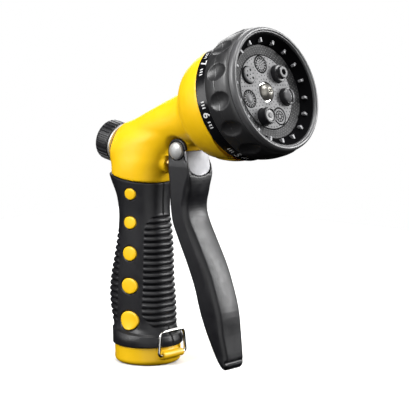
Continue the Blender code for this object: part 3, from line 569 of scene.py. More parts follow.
def body_field(x, y, z):
    """The casting: bell, barrel, shoulder, grip core, lug and boss, less its bores."""
    up, _, along = within(HEAD, x, y, z)
    r = np.sqrt(up ** 2 + y ** 2)
    at, radius = BELL_ROWS
    slope = np.gradient(radius[:, 0], at)
    shell = (r - np.interp(along, at, radius[:, 0])) / np.sqrt(1 + np.interp(along, at, slope) ** 2)
    shell = soft_max(shell, along - BELL_EDGE, 0.7)
    shoulder = section_field(SHOULDER_ROWS, x, y, z, 0.0)
    shoulder = soft_max(shoulder, z - 147.0, 3.0)
    blend = 3.0 + 6.0 * step_up(up, -6.0, 7.0)
    solid = soft_min(shell, shoulder, blend)
    solid = soft_max(solid, sleeve_line(x) + 0.5 - z, 0.7)
    core = section_field(GRIP_ROWS, x, y, z, SLEEVE_WALL + 0.3)
    solid = np.minimum(solid, np.maximum(np.maximum(core, 15.3 - z), z - 116.0))
    lug = soft_max(outline_distance(x, z, LUG), np.abs(y) - LEVER_INNER + 0.3, 0.8)
    solid = soft_min(solid, lug, 1.4)

    # The valve's boss, cut square where the bonnet seats
    side, _, t = within(VALVE, x, y, z)
    q = np.sqrt(side ** 2 + y ** 2)
    boss = soft_max(q - 7.3, np.maximum(t - 45.3, 30.0 - t), 0.6)
    solid = soft_min(solid, boss, 1.2)
    solid = soft_max(solid, 2.0 - t, 0.6)

    # Room for the trigger's cheeks at the pivot and below it, and a dimple on each flank
    pivot = np.sqrt((x - PIVOT[0]) ** 2 + (z - PIVOT[2]) ** 2)
    pocket = soft_max(pivot - 8.4, LEVER_INNER - 0.4 - np.abs(y), 0.8)
    solid = soft_max(solid, -pocket, 1.6)
    sweep = np.maximum(np.maximum(22.6 - x, z - 129.6), LEVER_INNER - 0.15 - np.abs(y))
    solid = soft_max(solid, -sweep, 1.4)
    dimple = np.sqrt(((x - 22.0) / 6.0) ** 2 + ((np.abs(y) - 12.5) / 4.0) ** 2
                     + ((z - 118.6) / 4.6) ** 2) * 4.0 - 4.0
    solid = soft_max(solid, -dimple, 2.0)

    # Bores of the head, the valve, the handle, the hose insert and the rivet
    bore = np.maximum((r - np.interp(along, *HEAD_BORE.T)) * 0.6, -99.0 - along)
    for radius, low, high in VALVE_BORE:
        bore = np.minimum(bore, np.maximum(q - radius, np.maximum(low - t, t - high)))
    water = np.sqrt((x + 4.0) ** 2 + y ** 2)
    bore = np.minimum(bore, np.maximum(water - 6.5, z - 125.0))
    bore = np.minimum(bore, np.maximum(np.sqrt(x ** 2 + y ** 2) - 9.3, z - 20.6))
    bore = np.minimum(bore, pivot - PIN_BORE)
    return np.maximum(solid, -bore)


points, faces = skin(body_field, (-30.0, -37.0, 14.0), (79.0, 37.0, 206.0), 1.0)
piece("casting", [(points, faces, YELLOW)], "body", "yellow_enamel", "body_casting")


# --- grip -------------------------------------------------------------------------------------

def grip_reliefs(x, y, z, front):
    """How far the rubber stands out of, or sinks into, its plain section."""
    roll = np.abs(((z - 23.4) / RIB_PITCH) % 1.0 - 0.5) * 2.0
    rib = RIB_DEPTH * (1.0 - roll ** 2.6) - 1.15
    front_edge = 8.6 + 8.0 * step_up(z, 82.0, 98.0) ** 1.5 + 6.0 * step_up(-z, -32.0, -22.0)
    zone = step_up(x, front_edge, front_edge + 1.2) * step_up(z, 22.6, 23.8)
    zone = zone * step_up(-z, -99.0, -97.6)
    rear = step_up(-x, 10.4, 12.2) * step_up(z, 23.4, 25.0) * step_up(-z, -81.0, -77.0)
    relief = rib * np.maximum(zone, rear)
    plain = 1.0 - np.maximum(zone, rear)
    relief = relief - 0.8 * plain * front * np.exp(-(y / 0.42) ** 2)
    ledge = 19.6 - 0.085 * x
    relief = relief + 0.9 * step_up(-z, -ledge - 0.5, -ledge + 0.7)
    for height, along, wide, tall in DOTS:
        oval = np.sqrt(((x - along) / wide) ** 2 + ((z - height) / tall) ** 2)
        relief = relief - 0.75 * step_up(-oval, -1.16, -1.08)
    return relief


GRIP_TURNS, GRIP_RINGS, INNER_RINGS = 330, 275, 12


def make_sleeve():
    """The rubber: rings of points up its ribbed outside and back down its plain inside."""
    dense = np.linspace(0.0, math.tau, 8001)
    round_x, round_y = (np.sign(v) * np.abs(v) ** 0.8 * size
                        for v, size in ((np.cos(dense), 16.0), (np.sin(dense), 14.5)))
    run = np.concatenate(([0.0], np.cumsum(np.hypot(np.diff(round_x), np.diff(round_y)))))
    turns = np.interp(np.linspace(0.0, run[-1], GRIP_TURNS, endpoint=False), run, dense)
    c, s = np.cos(turns)[None, :], np.sin(turns)[None, :]

    def ring(z, inset, detailed):
        fade = step_up(z, 12.0, 16.0) * step_up(-z, -34.0, -26.0)
        shifted = z + 1.6 * c * fade
        centre, deep, wide, square = section(GRIP_ROWS, shifted)
        x = centre + (deep - inset) * np.sign(c) * np.abs(c) ** (2.0 / square)
        y = (wide - inset) * np.sign(s) * np.abs(s) ** (2.0 / square)
        if not detailed:
            return x, y
        out_x = np.sign(c) * np.abs(c) ** (2.0 - 2.0 / square) / deep
        out_y = np.sign(s) * np.abs(s) ** (2.0 - 2.0 / square) / wide
        size = np.hypot(out_x, out_y)
        relief = grip_reliefs(x, y, z, c > 0.0)
        return x + relief * out_x / size, y + relief * out_y / size

    top_x, _ = ring(np.full((1, len(turns)), 112.0), 0.0, False)
    top = sleeve_line(top_x)
    share = np.linspace(0.0, 1.0, GRIP_RINGS)[:, None]
    z = SLEEVE_FOOT + (top - SLEEVE_FOOT) * share
    lip = 0.6 * (1.0 - np.minimum(1.0, np.minimum(share, 1.0 - share) * 160.0)) ** 2
    x, y = ring(z, lip, True)
    outer = np.stack((x, y, z), -1)
    share = np.linspace(1.0, 0.0, INNER_RINGS)[:, None]
    z = SLEEVE_FOOT + (top - SLEEVE_FOOT) * share
    x, y = ring(z, SLEEVE_WALL - 0.1, False)
    inner = np.stack((x, y, z), -1)
    points = placed(UPRIGHT, np.concatenate((outer, inner)).reshape(-1, 3))
    index = np.arange(len(points)).reshape(-1, GRIP_TURNS)
    return points, outward(points, loft(index, wrap=True))


piece("grip", [(*make_sleeve(), RUBBER)], "body", "grip_rubber", "grip_sleeve")


def make_dots():
    """The casting's ovals, which show through the rubber."""
    solids = []
    share = np.array((0.0, 0.35, 0.7, 0.88, 0.96, 1.0, 1.0))
    drop = np.array((0.0, 0.02, 0.06, 0.12, 0.22, 0.42, 2.2))
    turns = np.linspace(0.0, math.tau, 48, endpoint=False)
    for height, along, wide, tall in DOTS:
        for side in (-1.0, 1.0):
            x = along + share[:, None] * wide * np.cos(turns)
            z = height + share[:, None] * tall * np.sin(turns)
            centre, deep, half, square = section(GRIP_ROWS, z)
            y = half * (1.0 - np.abs((x - centre) / deep) ** square) ** (1.0 / square)
            y = side * (y + 0.62 - drop[:, None])
            points = placed(UPRIGHT, np.stack((x, y, z), -1).reshape(-1, 3))
            index = np.arange(len(points)).reshape(len(share), -1)
            index[0] = index[0, 0]
            faces = loft(index) + [index[-1].tolist()]
            solids.append((points, outward(points, faces), YELLOW))
    return solids


piece("grip_dots", make_dots(), "body", "yellow_enamel")


# --- collar and hose inlet --------------------------------------------------------------------

def collar_field(x, y, z):
    """The foot collar with the tube that the lock's wire turns in."""
    r = np.sqrt(x ** 2 + y ** 2)
    bulge = np.sqrt(np.maximum(r - COLLAR_R + 3.0, 0.0) ** 2 + np.maximum(3.0 - z, 0.0) ** 2) - 3.0
    ring = np.where(z < 3.0, np.maximum(bulge, -z), r - COLLAR_R)
    ring = soft_max(ring, z - 11.0, 0.5)
    pin = np.sqrt((x - HINGE[0]) ** 2 + (z - HINGE[2]) ** 2)
    barrel = soft_max(pin - 2.4, np.abs(y) - 8.7, 0.9)
    solid = soft_min(ring, barrel, 1.3)
    wire = np.maximum(pin - 1.15, 4.6 - np.abs(y))
    return np.maximum(np.maximum(solid, 16.8 - r), -wire)


piece("collar", [(*skin(collar_field, (-21.5, -21.5, -1.0), (24.5, 21.5, 12.0), 0.45), YELLOW)],
      "body", "yellow_enamel", "base_collar")


def threaded(r, z, angle):
    """A helical crest of the hose thread on the socket's wall."""
    turn = (z / 2.2 - angle / math.tau) % 1.0
    crest = 0.9 * np.clip(1.6 - np.abs(turn - 0.5) * 5.0, 0.0, 1.0)
    on_wall = (np.abs(r - 13.9) < 0.05) * step_up(z, 1.0, 2.0) * step_up(-z, -10.4, -9.6)
    return r - crest * on_wall, z


socket = [(16.5, 15.0), (16.5, 0.0, 0.5), (14.3, 0.0, 0.3), (13.9, 0.5, 0.1), (13.9, 12.6),
          (6.6, 12.6), (6.6, 20.0), (8.9, 20.0), (8.9, 15.0)]
socket = split(rounded(socket, 0.3), 0.3)
piece("hose_socket", [(*lathe(socket, UPRIGHT, 144, threaded), BRASS)], "body", "brass",
      "inlet_insert")
washer = rounded([(12.5, 12.3), (12.5, 10.2), (7.2, 10.2), (7.2, 12.3)], 0.5)
piece("washer", [(*lathe(washer, UPRIGHT, 96), SEAL)], "body", "seal_rubber", "hose_washer")


# --- valve and flow knob ----------------------------------------------------------------------

def turned(name, corners, place, look, body, slot, node, closed=True):
    """A piece that is one turned solid."""
    profile = rounded(corners, 0.3, closed=closed)
    piece(name, [(*lathe(profile, place, closed=closed), look)], body, slot, node)


turned("stem", [(0.0, 65.2), (1.6, 64.8, 0.8), (2.8, 63.2, 1.2), (3.0, 62.0, 0.6), (3.0, 53.9),
                (2.5, 53.4), (2.5, 24.5), (5.2, 24.5), (5.2, 22.5), (1.8, 22.5), (1.8, 19.0),
                (0.0, 19.0)], VALVE, BRASS, "stem", "brass", "valve_stem", closed=False)


def hexagonal(r, z, angle):
    """Flats on the gland nut's head."""
    flat = 5.2 / np.cos((angle + math.pi / 6) % (math.pi / 3) - math.pi / 6)
    return np.where((r > 4.5) & (z > 45.1), np.minimum(r, flat), r), z


nut = split(rounded([(5.9, 49.0, 0.5), (5.9, 45.2), (4.3, 45.2), (4.3, 43.6), (2.8, 43.6),
                     (2.8, 49.0)], 0.2), 1.0)
piece("gland", [(*lathe(nut, VALVE, 144, hexagonal), BRASS)], "body", "brass", "gland_nut")

turned("bonnet", [(2.8, -4.4), (5.6, -4.4), (5.6, 0.2, 0.8), (12.4, 0.2, 0.5), (12.4, 1.7, 0.3),
                  (8.3, 1.7), (8.3, 4.2), (6.5, 4.2), (6.5, 6.6), (8.3, 6.6), (8.3, 9.2),
                  (2.8, 9.2)], VALVE, NICKEL, "body", "satin_nickel", "rear_bonnet")


def ribbed(r, z, angle):
    """Square ribs round the knob's rim, run out at both ends."""
    wave = np.abs((angle * KNOB_RIBS / math.tau) % 1.0 - 0.5) * 2.0
    valley = step_up(wave, 0.42, 0.62)
    rim = step_up(r, 11.3, 11.9) * step_up(z, -10.6, -9.9) * step_up(-z, 0.7, 1.2)
    return r - 0.95 * valley * rim, z


knob = rounded([(9.9, -0.3, 0.3), (12.0, -0.3, 0.4), (KNOB_R, -1.0, 0.5), (KNOB_R, -9.9, 0.9),
                (11.6, -11.1, 0.9), (8.6, -11.1, 0.5), (8.2, -10.6, 0.4), (4.1, -10.6, 0.4),
                (4.1, -8.9), (2.8, -8.9), (2.8, -5.0), (9.9, -5.0)], 0.3)
piece("knob", [(*lathe(split(knob, 0.5), VALVE, KNOB_RIBS * 16, ribbed), BLACK)], "knob",
      "black_plastic", "flow_knob")
turned("knob_cap_screw", [(0.0, -10.9), (2.2, -10.7, 0.6), (3.5, -9.6, 0.5), (3.6, -9.1, 0.2),
                          (1.45, -9.1), (1.45, -3.0), (0.0, -3.0)], VALVE, CHROME, "knob",
       "bright_steel", "knob_screw", closed=False)


# --- trigger ----------------------------------------------------------------------------------

LEVER_OUTLINE = smooth_outline((
    (34.6, 139.5), (40.0, 137.2), (42.0, 132.0), (43.5, 124.8), (44.9, 117.0), (43.9, 108.5),
    (41.9, 100.0), (43.0, 92.5), (48.8, 82.0), (57.9, 65.5), (63.4, 52.0), (67.7, 38.5),
    (69.7, 25.0), (71.9, 12.0), (71.7, 6.8), (69.4, 5.0), (66.0, 8.6), (61.4, 17.2),
    (54.3, 35.6), (49.6, 51.5), (43.6, 65.3), (36.6, 79.1), (31.5, 90.2), (29.9, 101.0),
    (28.6, 116.0), (27.3, 131.0), (29.4, 137.4)))
PLATE_TOP, PLATE_FOOT = np.array((42.0, 132.0)), np.array((44.9, 117.5))
PLATE_UP = (PLATE_TOP - PLATE_FOOT) / np.hypot(*(PLATE_TOP - PLATE_FOOT))


def groove_place():
    """Where the lock's bar lies on the lever, turned back from the held trigger."""
    x = HINGE[0] + BAIL_REACH * math.sin(BAIL_CATCH) - PIVOT[0]
    z = HINGE[2] + BAIL_REACH * math.cos(BAIL_CATCH) - PIVOT[2]
    c, s = math.cos(-TRIGGER_HOLD), math.sin(-TRIGGER_HOLD)
    return PIVOT[0] + c * x + s * z, PIVOT[2] - s * x + c * z


GROOVE = groove_place()


def plate_reach(x, y, z, half, foot):
    """Distance round the plate's outline, and height over the lever's front line."""
    up = (x - PLATE_TOP[0]) * PLATE_UP[0] + (z - PLATE_TOP[1]) * PLATE_UP[1]
    out = (x - PLATE_TOP[0]) * PLATE_UP[1] - (z - PLATE_TOP[1]) * PLATE_UP[0]
    below = np.sqrt((y / half) ** 2 + ((up + 8.6) / foot) ** 2)
    return np.where(up > -8.6, np.abs(y) - half, (below - 1.0) * foot), up, out


def lever_field(x, y, z):
    """The trigger: a crowned lever, hollow behind and forked over the casting's lug."""
    flat = outline_distance(x, z, LEVER_OUTLINE)
    half = np.interp(z, (13.0, 26.0, 45.0, 100.0, 123.0, 127.0),
                     (9.0, 10.3, 11.0, 11.0, 10.8, LEVER_HALF))
    front = step_up(x, np.interp(z, (5.0, 50.0, 100.0, 118.0), (66.0, 56.0, 35.0, 36.0)),
                    np.interp(z, (5.0, 50.0, 100.0, 118.0), (70.5, 61.0, 40.0, 43.0)))
    middle = step_up(-z, -121.0, -106.0) * step_up(z, 14.0, 40.0)
    crown = 1.0 * (y / LEVER_HALF) ** 2 * front * middle
    radius = 0.9 + (1.0 + 1.6 * front) * step_up(-z, -121.0, -110.0)
    # a and b run across the outline and across the width, meeting in a rounded edge
    a, b = flat + crown + radius - 0.6 * middle, np.abs(y) - half + radius
    solid = (np.minimum(np.maximum(a, b), 0.0)
             + np.sqrt(np.maximum(a, 0.0) ** 2 + np.maximum(b, 0.0) ** 2) - radius)
    # Hollow back, fork, plate pocket, groove for the lock's bar, pin hole and rivet sinks
    channel = np.maximum(outline_distance(x + 4.2, z, LEVER_OUTLINE), 15.0 - z)
    channel = soft_max(channel, np.abs(y) - LEVER_INNER, 1.2)
    solid = soft_max(solid, -channel, 0.8)
    fork = np.maximum(118.5 - z, np.abs(y) - LEVER_INNER)
    solid = soft_max(solid, -fork, 0.8)
    around, up, out = plate_reach(x, y, z, 9.95, 6.8)
    pocket = np.maximum(np.maximum(around, -2.4 - out), up - 0.8)
    solid = soft_max(solid, -pocket, 0.35)
    groove = np.sqrt((x - GROOVE[0]) ** 2 + (z - GROOVE[1]) ** 2) - 1.3
    solid = soft_max(solid, -groove, 0.5)
    pivot = np.sqrt((x - PIVOT[0]) ** 2 + (z - PIVOT[2]) ** 2)
    solid = np.maximum(solid, PIN_BORE - pivot)
    sink = soft_max(pivot - 6.0, LEVER_HALF - 0.9 - np.abs(y), 0.3)
    return soft_max(solid, -sink, 0.4)


piece("lever", [(*skin(lever_field, (25.5, -12.0, 3.0), (73.9, 12.0, 141.0), 0.5), LEVER)],
      "trigger", "lever_black", "trigger_lever")


def thumb_field(x, y, z):
    """The pale plate let into the top of the lever's front."""
    around, up, out = plate_reach(x, y, z, 9.7, 6.5)
    bow = 0.25 * (y / 9.7) ** 2
    return soft_max(soft_max(around, up - 0.4, 0.6), np.maximum(out + bow, -2.0 - out), 0.5)


piece("thumb_plate", [(*skin(thumb_field, (38.0, -10.5, 114.5), (47.5, 10.5, 133.5), 0.35),
                       SILVER)], "trigger", "bare_zinc", "push_plate")

rivet = [(0.0, 12.8), (1.8, 12.7, 1.0), (3.6, 12.2, 1.0), (4.9, 11.4, 0.7), (RIVET_R, 10.6, 0.4),
         (RIVET_R, 9.5, 0.2), (2.4, 9.5)]
rivet += [(r, -z, *rest) for r, z, *rest in reversed(rivet)]
turned("trigger_pin", rivet, ACROSS, RIVET, "body", "bright_steel", "trigger_rivet", closed=False)


def bail_path():
    """The lock's wire: feet in the hinge tube, arms, and a slightly bowed bar."""
    x, _, z = HINGE
    half = [(5.2, z), (11.7, z, 2.4), (10.1, z + BAIL_REACH - 0.4, 3.4), (0.0, z + BAIL_REACH)]
    run = split(rounded(half, 1.5, detail=8, closed=False), 0.8, closed=False)
    near = np.array([(x, y, h) for y, h in run])
    far = near[::-1][1:] * (1.0, -1.0, 1.0)
    return np.concatenate((near, far))


piece("bail", [(*tube(bail_path(), BAIL_WIRE_R, 20), CHROME)], "bail", "bright_steel", "lock_bail")


# --- turret -----------------------------------------------------------------------------------

def scalloped(r, z, angle):
    """Lens-shaped finger scoops and a fine seam round the shell's outside."""
    pitch = 360.0 / SCOOPS
    phase = ((np.degrees(angle) - SCOOP_PHASE) / pitch + 0.5) % 1.0 - 0.5
    across = phase * pitch / SCOOP_HALF_ANGLE
    lens = np.clip(1.0 - across ** 2 - ((z + 11.0) / SCOOP_HALF_LENGTH) ** 2, 0.0, 1.0)
    outside = r > 34.0
    seam = 0.16 * np.exp(-((z + 12.4) / 0.16) ** 2)
    return r - (1.9 * lens ** 0.8 + seam) * outside, z


shell = rounded([(30.3, -20.8), (30.3, -5.4), (31.0, -2.8), (35.9, -2.8, 0.3), (37.0, -4.6, 1.0),
                 (37.4, -8.0, 2.0), (37.3, -14.0, 3.0), (36.7, -18.0, 2.0), (36.0, -20.8, 0.6)],
                0.3)
piece("shell", [(*lathe(split(shell, 0.25), HEAD, SCOOPS * 32, scalloped), SHELL)], "turret",
      "turret_black", "turret_shell")


def ink_marks():
    """Numbers and scale ticks on the band, generic as on a dial."""
    solids = []

    def wrapped(points, turn):
        along = np.radians(turn) - points[:, 0] / INK_R
        return placed(HEAD, np.stack((-INK_R * np.cos(along), INK_R * np.sin(along),
                                      INK_PLACE + points[:, 1]), -1))

    for i in range(OUTLETS):
        turn = 360.0 * i / OUTLETS
        text = bpy.data.curves.new("numeral", "FONT")
        text.body = str(i + 1)
        text.size = NUMERAL_SIZE
        text.align_x, text.align_y = "CENTER", "CENTER"
        text.offset = 0.12
        holder = bpy.data.objects.new("numeral", text)
        scene.collection.objects.link(holder)
        bpy.context.view_layer.update()
        mesh = bpy.data.meshes.new_from_object(
            holder.evaluated_get(bpy.context.evaluated_depsgraph_get()))
        points = np.array([vertex.co for vertex in mesh.vertices])
        faces = [list(face.vertices)[::-1] for face in mesh.polygons]
        bpy.data.objects.remove(holder)
        bpy.data.meshes.remove(mesh)
        solids.append((wrapped(points, turn), faces, INK))
        for x in (-7.6, -5.9, -4.2, 4.2, 5.9, 7.6):
            bar = np.array(((x - 0.35, -1.1), (x + 0.35, -1.1), (x + 0.35, 1.1), (x - 0.35, 1.1)))
            solids.append((wrapped(bar, turn), [[3, 2, 1, 0]], INK))
    return solids


band = rounded([(34.9, -21.1), (34.9, -28.8), (31.6, -28.8), (31.6, -21.1)], 0.25)
piece("label_ring", [(*lathe(split(band, 1.0), HEAD, 192), BAND)], "turret", "band_gloss",
      "label_band")
piece("label_marks", ink_marks(), "turret", "band_gloss")

ring = rounded([(32.4, -2.5), (32.4, 0.2, 0.3), (32.9, 0.75, 0.25), (33.3, 0.5, 0.2),
                (33.8, 1.15, 0.4), (34.7, 1.2, 0.8), (35.7, 0.4, 0.9), (36.0, -1.0, 0.6),
                (36.0, -2.5)], 0.3)
piece("rim", [(*lathe(split(ring, 1.0), HEAD, 240), RING)], "turret", "ring_grey", "front_ring")

fins = []
for i in range(FINS):
    turn = HEAD @ Matrix.Rotation(math.tau * i / FINS, 4, "Z")
    fins.append((*block((27.9, -0.75, -5.2), (30.5, 0.75, -2.9), turn, 0.12), FIN))
cup = rounded([(30.25, -20.6), (30.25, -5.4), (30.9, -2.6), (32.3, -2.4), (32.3, -0.6, 0.2),
               (31.9, -0.6, 0.2), (29.4, -4.4, 1.0), (27.3, -6.2, 0.3), (27.3, -9.0),
               (30.0, -9.4), (30.0, -20.6)], 0.1)
# The recess wall is drawn darker than the shell: painted shade
piece("cup_wall", [(*lathe(split(cup, 2.0), HEAD, 160), CUP_SHADE)] + fins, "turret", "turret_black")


def annulus_height(x, y):
    """The sloped face of the annulus between the plate and the cup's wall."""
    return np.interp(math.hypot(x, y), (21.7, 27.2), (-7.6, -6.1)) + 0.03


pits = []
for row, count in enumerate((66, 70, 74, 78)):
    radius = 22.5 + 1.25 * row
    pits += [clock(radius, 360.0 * (k + 0.5 * (row % 2)) / count) for k in range(count)]
ledge = rounded([(21.7, PLATE_BACK), (21.7, -7.6, 0.3), (27.2, -6.1, 0.3), (27.2, PLATE_BACK)], 0.2)
piece("spray_ring", [(*lathe(split(ledge, 1.0), HEAD, 160), ANNULUS),
                     (*discs(pits, 0.34, HEAD, annulus_height), PIT)], "turret",
      "annulus_grey", "spray_annulus")

CENTRES = [clock(OUTLET_CIRCLE, 360.0 * i / OUTLETS) for i in range(OUTLETS)]


def pattern_field(x, y, z):
    """The flat plate with a round hole for each outlet and one for the screw."""
    r = np.sqrt(x ** 2 + y ** 2)
    solid = soft_max(r - PLATE_RIM, np.maximum(z - PLATE_FACE, PLATE_BACK - z), 0.3)
    solid = soft_max(solid, 5.9 - r, 0.3)
    for cx, cy in CENTRES:
        solid = soft_max(solid, OUTLET_R + 0.30 - np.sqrt((x - cx) ** 2 + (y - cy) ** 2), 0.25)
    return solid


# The plate's spray holes are not cut: each is a dark disc of painted shade on its face
holes = []
for row, count in enumerate((20, 24, 30, 36, 42, 48, 54)):
    radius = 7.4 + 2.15 * row
    for k in range(count):
        x, y = clock(radius, 360.0 * (k + 0.5 * (row % 2)) / count)
        if min(math.hypot(x - cx, y - cy) for cx, cy in CENTRES) > OUTLET_R + 0.85:
            holes.append((x, y))
piece("pattern_face", [(*skin(pattern_field, (-22.0, -22.0, -10.0), (22.0, 22.0, -6.6), 0.3, HEAD),
                        PLATE), (*discs(holes, 0.36, HEAD, PLATE_FACE + 0.02), HOLE_SHADE)],
      "turret", "plate_grey", "pattern_plate")


# --- outlets ----------------------------------------------------------------------------------

def outlet_place(i):
    """The frame of an outlet, on the turret's axis system."""
    return HEAD @ Matrix.Translation(Vector((*CENTRES[i], 0.0)) * MM)


def ring_of(count, radius, phase=0.0):
    """Places spaced evenly round a circle; phase is a share of one step."""
    return [clock(radius, 360.0 * (k + phase) / count) for k in range(count)]


def cap(corners, place, look, radius=0.25):
    """A turned closed cap whose profile starts and ends on the axis."""
    profile = rounded(corners, radius, closed=False)
    return (*lathe(profile, place, OUTLET_STEPS, closed=False), look)


def post(corners, place):
    """A raised black outlet: the corners of its face, then its barrel down behind the plate."""
    return cap([*corners, (OUTLET_R, OUTLET_BACK), (0.0, OUTLET_BACK)], place, BLACK)


def hoop(inner, outer, low, high, place, look, radius=0.05):
    """A flat ring let into a face."""
    corners = [(inner, low), (inner, high), (outer, high), (outer, low)]
    return (*lathe(rounded(corners, radius), place, OUTLET_STEPS), look)


def flush_body(place):
    """A cap level with the plate, with a ring of painted shade round it for the gap."""
    face = PLATE_FACE
    corners = [(0.0, face - 0.1), (4.0, face - 0.1), (4.5, face + 0.05), (OUTLET_R, face - 0.2),
               (OUTLET_R, OUTLET_BACK), (0.0, OUTLET_BACK)]
    return (hoop(4.45, OUTLET_R, face - 0.3, face + 0.04, place, HOLE_SHADE),
            cap(corners, place, PLATE))


def dashes(place, radius, count, length, width, height):
    """Short dark radial bars round a circle: painted shade standing for slots."""
    solids = []
    for k in range(count):
        turn = place @ Matrix.Rotation(math.tau * k / count, 4, "Z")
        solids.append((*block((radius - length / 2, -width / 2, height - 0.15),
                              (radius + length / 2, width / 2, height), turn, 0.04), HOLE_SHADE))
    return solids


place = outlet_place(0)
# Its ring of slots and its holes are dark marks of painted shade, not cut
shower = [*flush_body(place), *dashes(place, 3.65, 14, 1.3, 0.85, PLATE_FACE + 0.06)]
shower.append((*discs(ring_of(9, 2.1) + ring_of(5, 1.0, 0.4), 0.36, place, PLATE_FACE - 0.06),
               HOLE_SHADE))
piece("shower_outlet", shower, "turret", "plate_grey", "outlet_1_shower")

place = outlet_place(1)
jet = [post([(0.0, -3.6), (1.7, -3.6), (1.7, -2.1, 0.1), (3.3, -2.0, 0.3), (3.5, -2.4, 0.2),
             (3.5, -4.2), (OUTLET_R, -4.4, 0.3)], place),
       hoop(1.72, 3.1, -2.2, -1.93, place, PLATE, 0.08),
       # The jet's bore is a dark disc of painted shade, not a hole
       (*discs([(0.0, 0.0)], 1.65, place, -3.55, 32), HOLE_SHADE)]
piece("jet_outlet", jet, "turret", "black_plastic", "outlet_2_jet")

place = outlet_place(2)


def slotted_dome(x, y, z):
    """The flat spray's dome with a slot across it."""
    r = np.sqrt(x ** 2 + y ** 2)
    dome = np.sqrt(r ** 2 + (z + 8.2) ** 2) - 6.3
    solid = soft_max(soft_max(r - 4.4, dome, 0.5), -8.5 - z, 0.2)
    slot = soft_max(np.abs(y) - 0.7, -4.4 - z, 0.2)
    return soft_max(solid, -slot, 0.25)


# The dome's lighter grey is partly painted highlight; the dark block in its slot is painted shade
flat = [(*skin(slotted_dome, (-5.0, -5.0, -9.0), (5.0, 5.0, -1.6), 0.22, place), DOME_HIGHLIGHT),
        post([(0.0, -3.9), (4.6, -3.9), (OUTLET_R, -4.3, 0.3)], place),
        (*block((-3.3, -0.68, -4.6), (3.3, 0.68, -2.7), place, 0.1), HOLE_SHADE)]
piece("flat_outlet", flat, "turret", "black_plastic", "outlet_3_flat")

place = outlet_place(3)
cone = [*flush_body(place)]
# Dark rings and bars of painted shade stand for the cone outlet's grooves and slots
for radius, width in ((3.1, 0.45), (1.3, 0.4)):
    cone.append(hoop(radius - width / 2, radius + width / 2, PLATE_FACE - 0.14, PLATE_FACE + 0.05,
                     place, HOLE_SHADE, 0.04))
cone += dashes(place, 2.2, 9, 1.3, 0.35, PLATE_FACE + 0.07)
piece("cone_outlet", cone, "turret", "plate_grey", "outlet_4_cone")

place = outlet_place(4)
mist = [post([(0.0, -2.6), (3.2, -2.6), (3.6, -2.1, 0.2), (4.4, -2.1, 0.3), (4.7, -2.6, 0.3),
              (OUTLET_R, -4.4)], place),
        hoop(3.75, 4.05, -2.2, -2.02, place, PLATE),
        cap([(0.0, -2.15), (1.3, -2.2, 0.3), (1.7, -2.7), (0.0, -2.7)], place, PLATE)]
piece("mist_outlet", mist, "turret", "black_plastic", "outlet_5_mist")

place = outlet_place(5)
full = [*flush_body(place),
        cap([(0.0, PLATE_FACE + 0.7), (1.6, PLATE_FACE + 0.5, 0.8), (2.8, PLATE_FACE - 0.05),
             (2.8, PLATE_FACE - 0.3), (0.0, PLATE_FACE - 0.3)], place, PLATE, 0.3)]
# Its slots round the dome are dark bars of painted shade
full += dashes(place, 3.8, 16, 1.2, 0.75, PLATE_FACE + 0.06)
piece("full_outlet", full, "turret", "plate_grey", "outlet_6_full")

place = outlet_place(6)
soaker = [cap([(0.0, -5.75), (4.1, -5.75), (4.35, -6.0, 0.2), (4.35, -6.6), (0.0, -6.6)], place,
              PLATE),
          post([(0.0, -6.0), (4.5, -6.0), (OUTLET_R, -6.2, 0.2)], place),
          # The soaker's holes are dark discs of painted shade, not cut
          (*discs(ring_of(3, 2.7, 0.15), 0.78, place, -5.72, 16), HOLE_SHADE),
          (*discs(ring_of(3, 2.6, 0.65) + [(0.0, 0.0)], 0.42, place, -5.72, 12), HOLE_SHADE)]
piece("soaker_outlet", soaker, "turret", "plate_grey", "outlet_7_soaker")


def screw_field(x, y, z):
    """A domed head with a tapered cross recess, on a plain shank."""
    r = np.sqrt(x ** 2 + y ** 2)
    dome = np.sqrt(r ** 2 + (z + 9.3) ** 2) - 5.25
    head = soft_max(soft_max(r - 5.1, dome, 0.5), -8.0 - z, 0.2)
    depth = np.clip((z + 7.0) / 3.0, 0.0, 1.0)
    u, v = np.abs(x + y) / math.sqrt(2.0), np.abs(x - y) / math.sqrt(2.0)
    arm = np.minimum(np.maximum(u - 0.42, v - 0.4 - 1.2 * depth),
                     np.maximum(v - 0.42, u - 0.4 - 1.2 * depth))
    recess = np.maximum(arm, -6.4 - z)
    return soft_max(head, -recess, 0.15)


piece("centre_screw", [(*skin(screw_field, (-5.3, -5.3, -8.6), (5.3, 5.3, -3.6), 0.14, HEAD),
                        SCREW),
                       cap([(0.0, -8.05), (2.0, -8.05), (1.7, -30.0), (1.7, -43.0), (0.0, -43.0)],
                           HEAD, CHROME)], "body", "bright_steel", "turret_screw")


# --- CAD nodes that stay ----------------------------------------------------------------------

KEPT = {
    "valve_seal": SEAL, "stem_o_ring_inner": SEAL, "stem_o_ring_outer": SEAL,
    "return_spring": CHROME, "bonnet_o_ring": SEAL, "flow_spindle": BRASS,
    "distributor": BLACK, "distributor_o_ring": SEAL, "port_seal": SEAL, "port_spring": CHROME,
    "detent_spring": CHROME, "detent_ball": CHROME, "selector_disc": BLACK,
    "pivot_sleeve": CHROME, "screw_washer": CHROME,
}
for node, look in KEPT.items():
    mesh = frame["nodes"][node].data
    mesh.materials.clear()
    mesh.materials.append(look)


# --- stage ------------------------------------------------------------------------------------

def aim(obj, place, target):
    """Put an object at a place, looking at the target, both in millimetres."""
    place, target = Vector(place) * MM, Vector(target) * MM
    obj.location = place
    obj.rotation_euler = (target - place).to_track_quat("-Z", "Y").to_euler()


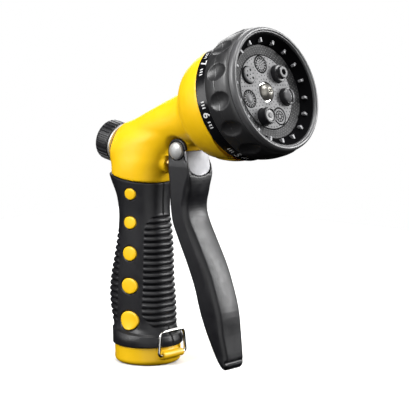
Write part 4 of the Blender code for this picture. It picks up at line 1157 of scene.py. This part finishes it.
def from_view(azimuth, elevation, distance):
    """A place round the target: azimuth 0 is on the -Y side and 90 on the +X side."""
    a, e = math.radians(azimuth), math.radians(elevation)
    away = Vector((math.sin(a) * math.cos(e), -math.cos(a) * math.cos(e), math.sin(e)))
    return Vector(CAMERA_TARGET) + away * distance


camera = bpy.data.objects.new("camera", bpy.data.cameras.new("camera"))
scene.collection.objects.link(camera)
camera.data.lens = CAMERA_LENS
camera.data.sensor_width = 36.0
camera.data.clip_start, camera.data.clip_end = 0.05, 20.0
aim(camera, from_view(CAMERA_AZIMUTH, CAMERA_ELEVATION, CAMERA_DISTANCE), CAMERA_TARGET)
scene.camera = camera


def softbox(name, azimuth, elevation, distance, size, power):
    """A rectangular light aimed at the target; its size is width and height, its power watts."""
    light = bpy.data.lights.new(name, "AREA")
    light.shape = "RECTANGLE"
    light.size, light.size_y = size[0] * MM, size[1] * MM
    light.energy = power
    lamp = bpy.data.objects.new(name, light)
    scene.collection.objects.link(lamp)
    aim(lamp, from_view(azimuth, elevation, distance), CAMERA_TARGET)


softbox("key", -16.0, 38.0, 900.0, (320.0, 620.0), 8.0)
softbox("left", -40.0, 20.0, 900.0, (300.0, 700.0), 2.2)
softbox("side", 140.0, 24.0, 900.0, (240.0, 700.0), 10.5)
softbox("top", 60.0, 76.0, 900.0, (360.0, 560.0), 5.5)
softbox("fill", 48.0, 8.0, 1300.0, (1500.0, 1300.0), 8.5)
softbox("rear", 215.0, 30.0, 1100.0, (900.0, 900.0), 9.0)

# The white surround is only a backdrop: the softboxes light the object
world = bpy.data.worlds.new("studio")
scene.world = world
world.use_nodes = True
world.node_tree.nodes["Background"].inputs["Color"].default_value = (1.0, 1.0, 1.0, 1.0)
world.node_tree.nodes["Background"].inputs["Strength"].default_value = 1.0
world.cycles_visibility.diffuse = False
world.cycles_visibility.glossy = False

FLOOR_HALF, FLOOR_DROP = 0.6, 0.0002
floor_mesh = bpy.data.meshes.new("floor")
floor_mesh.from_pydata([(-FLOOR_HALF, -FLOOR_HALF, 0.0), (FLOOR_HALF, -FLOOR_HALF, 0.0),
                        (FLOOR_HALF, FLOOR_HALF, 0.0), (-FLOOR_HALF, FLOOR_HALF, 0.0)], [],
                       [(0, 1, 2, 3)])
floor_mesh.materials.append(surface("floor_look", (0.96, 0.96, 0.96), 0.9, mottle=0.01,
                                    specular=0.0))
floor = bpy.data.objects.new("floor", floor_mesh)
floor.location.z = -FLOOR_DROP
floor.visible_diffuse = False
floor.visible_glossy = False
scene.collection.objects.link(floor)
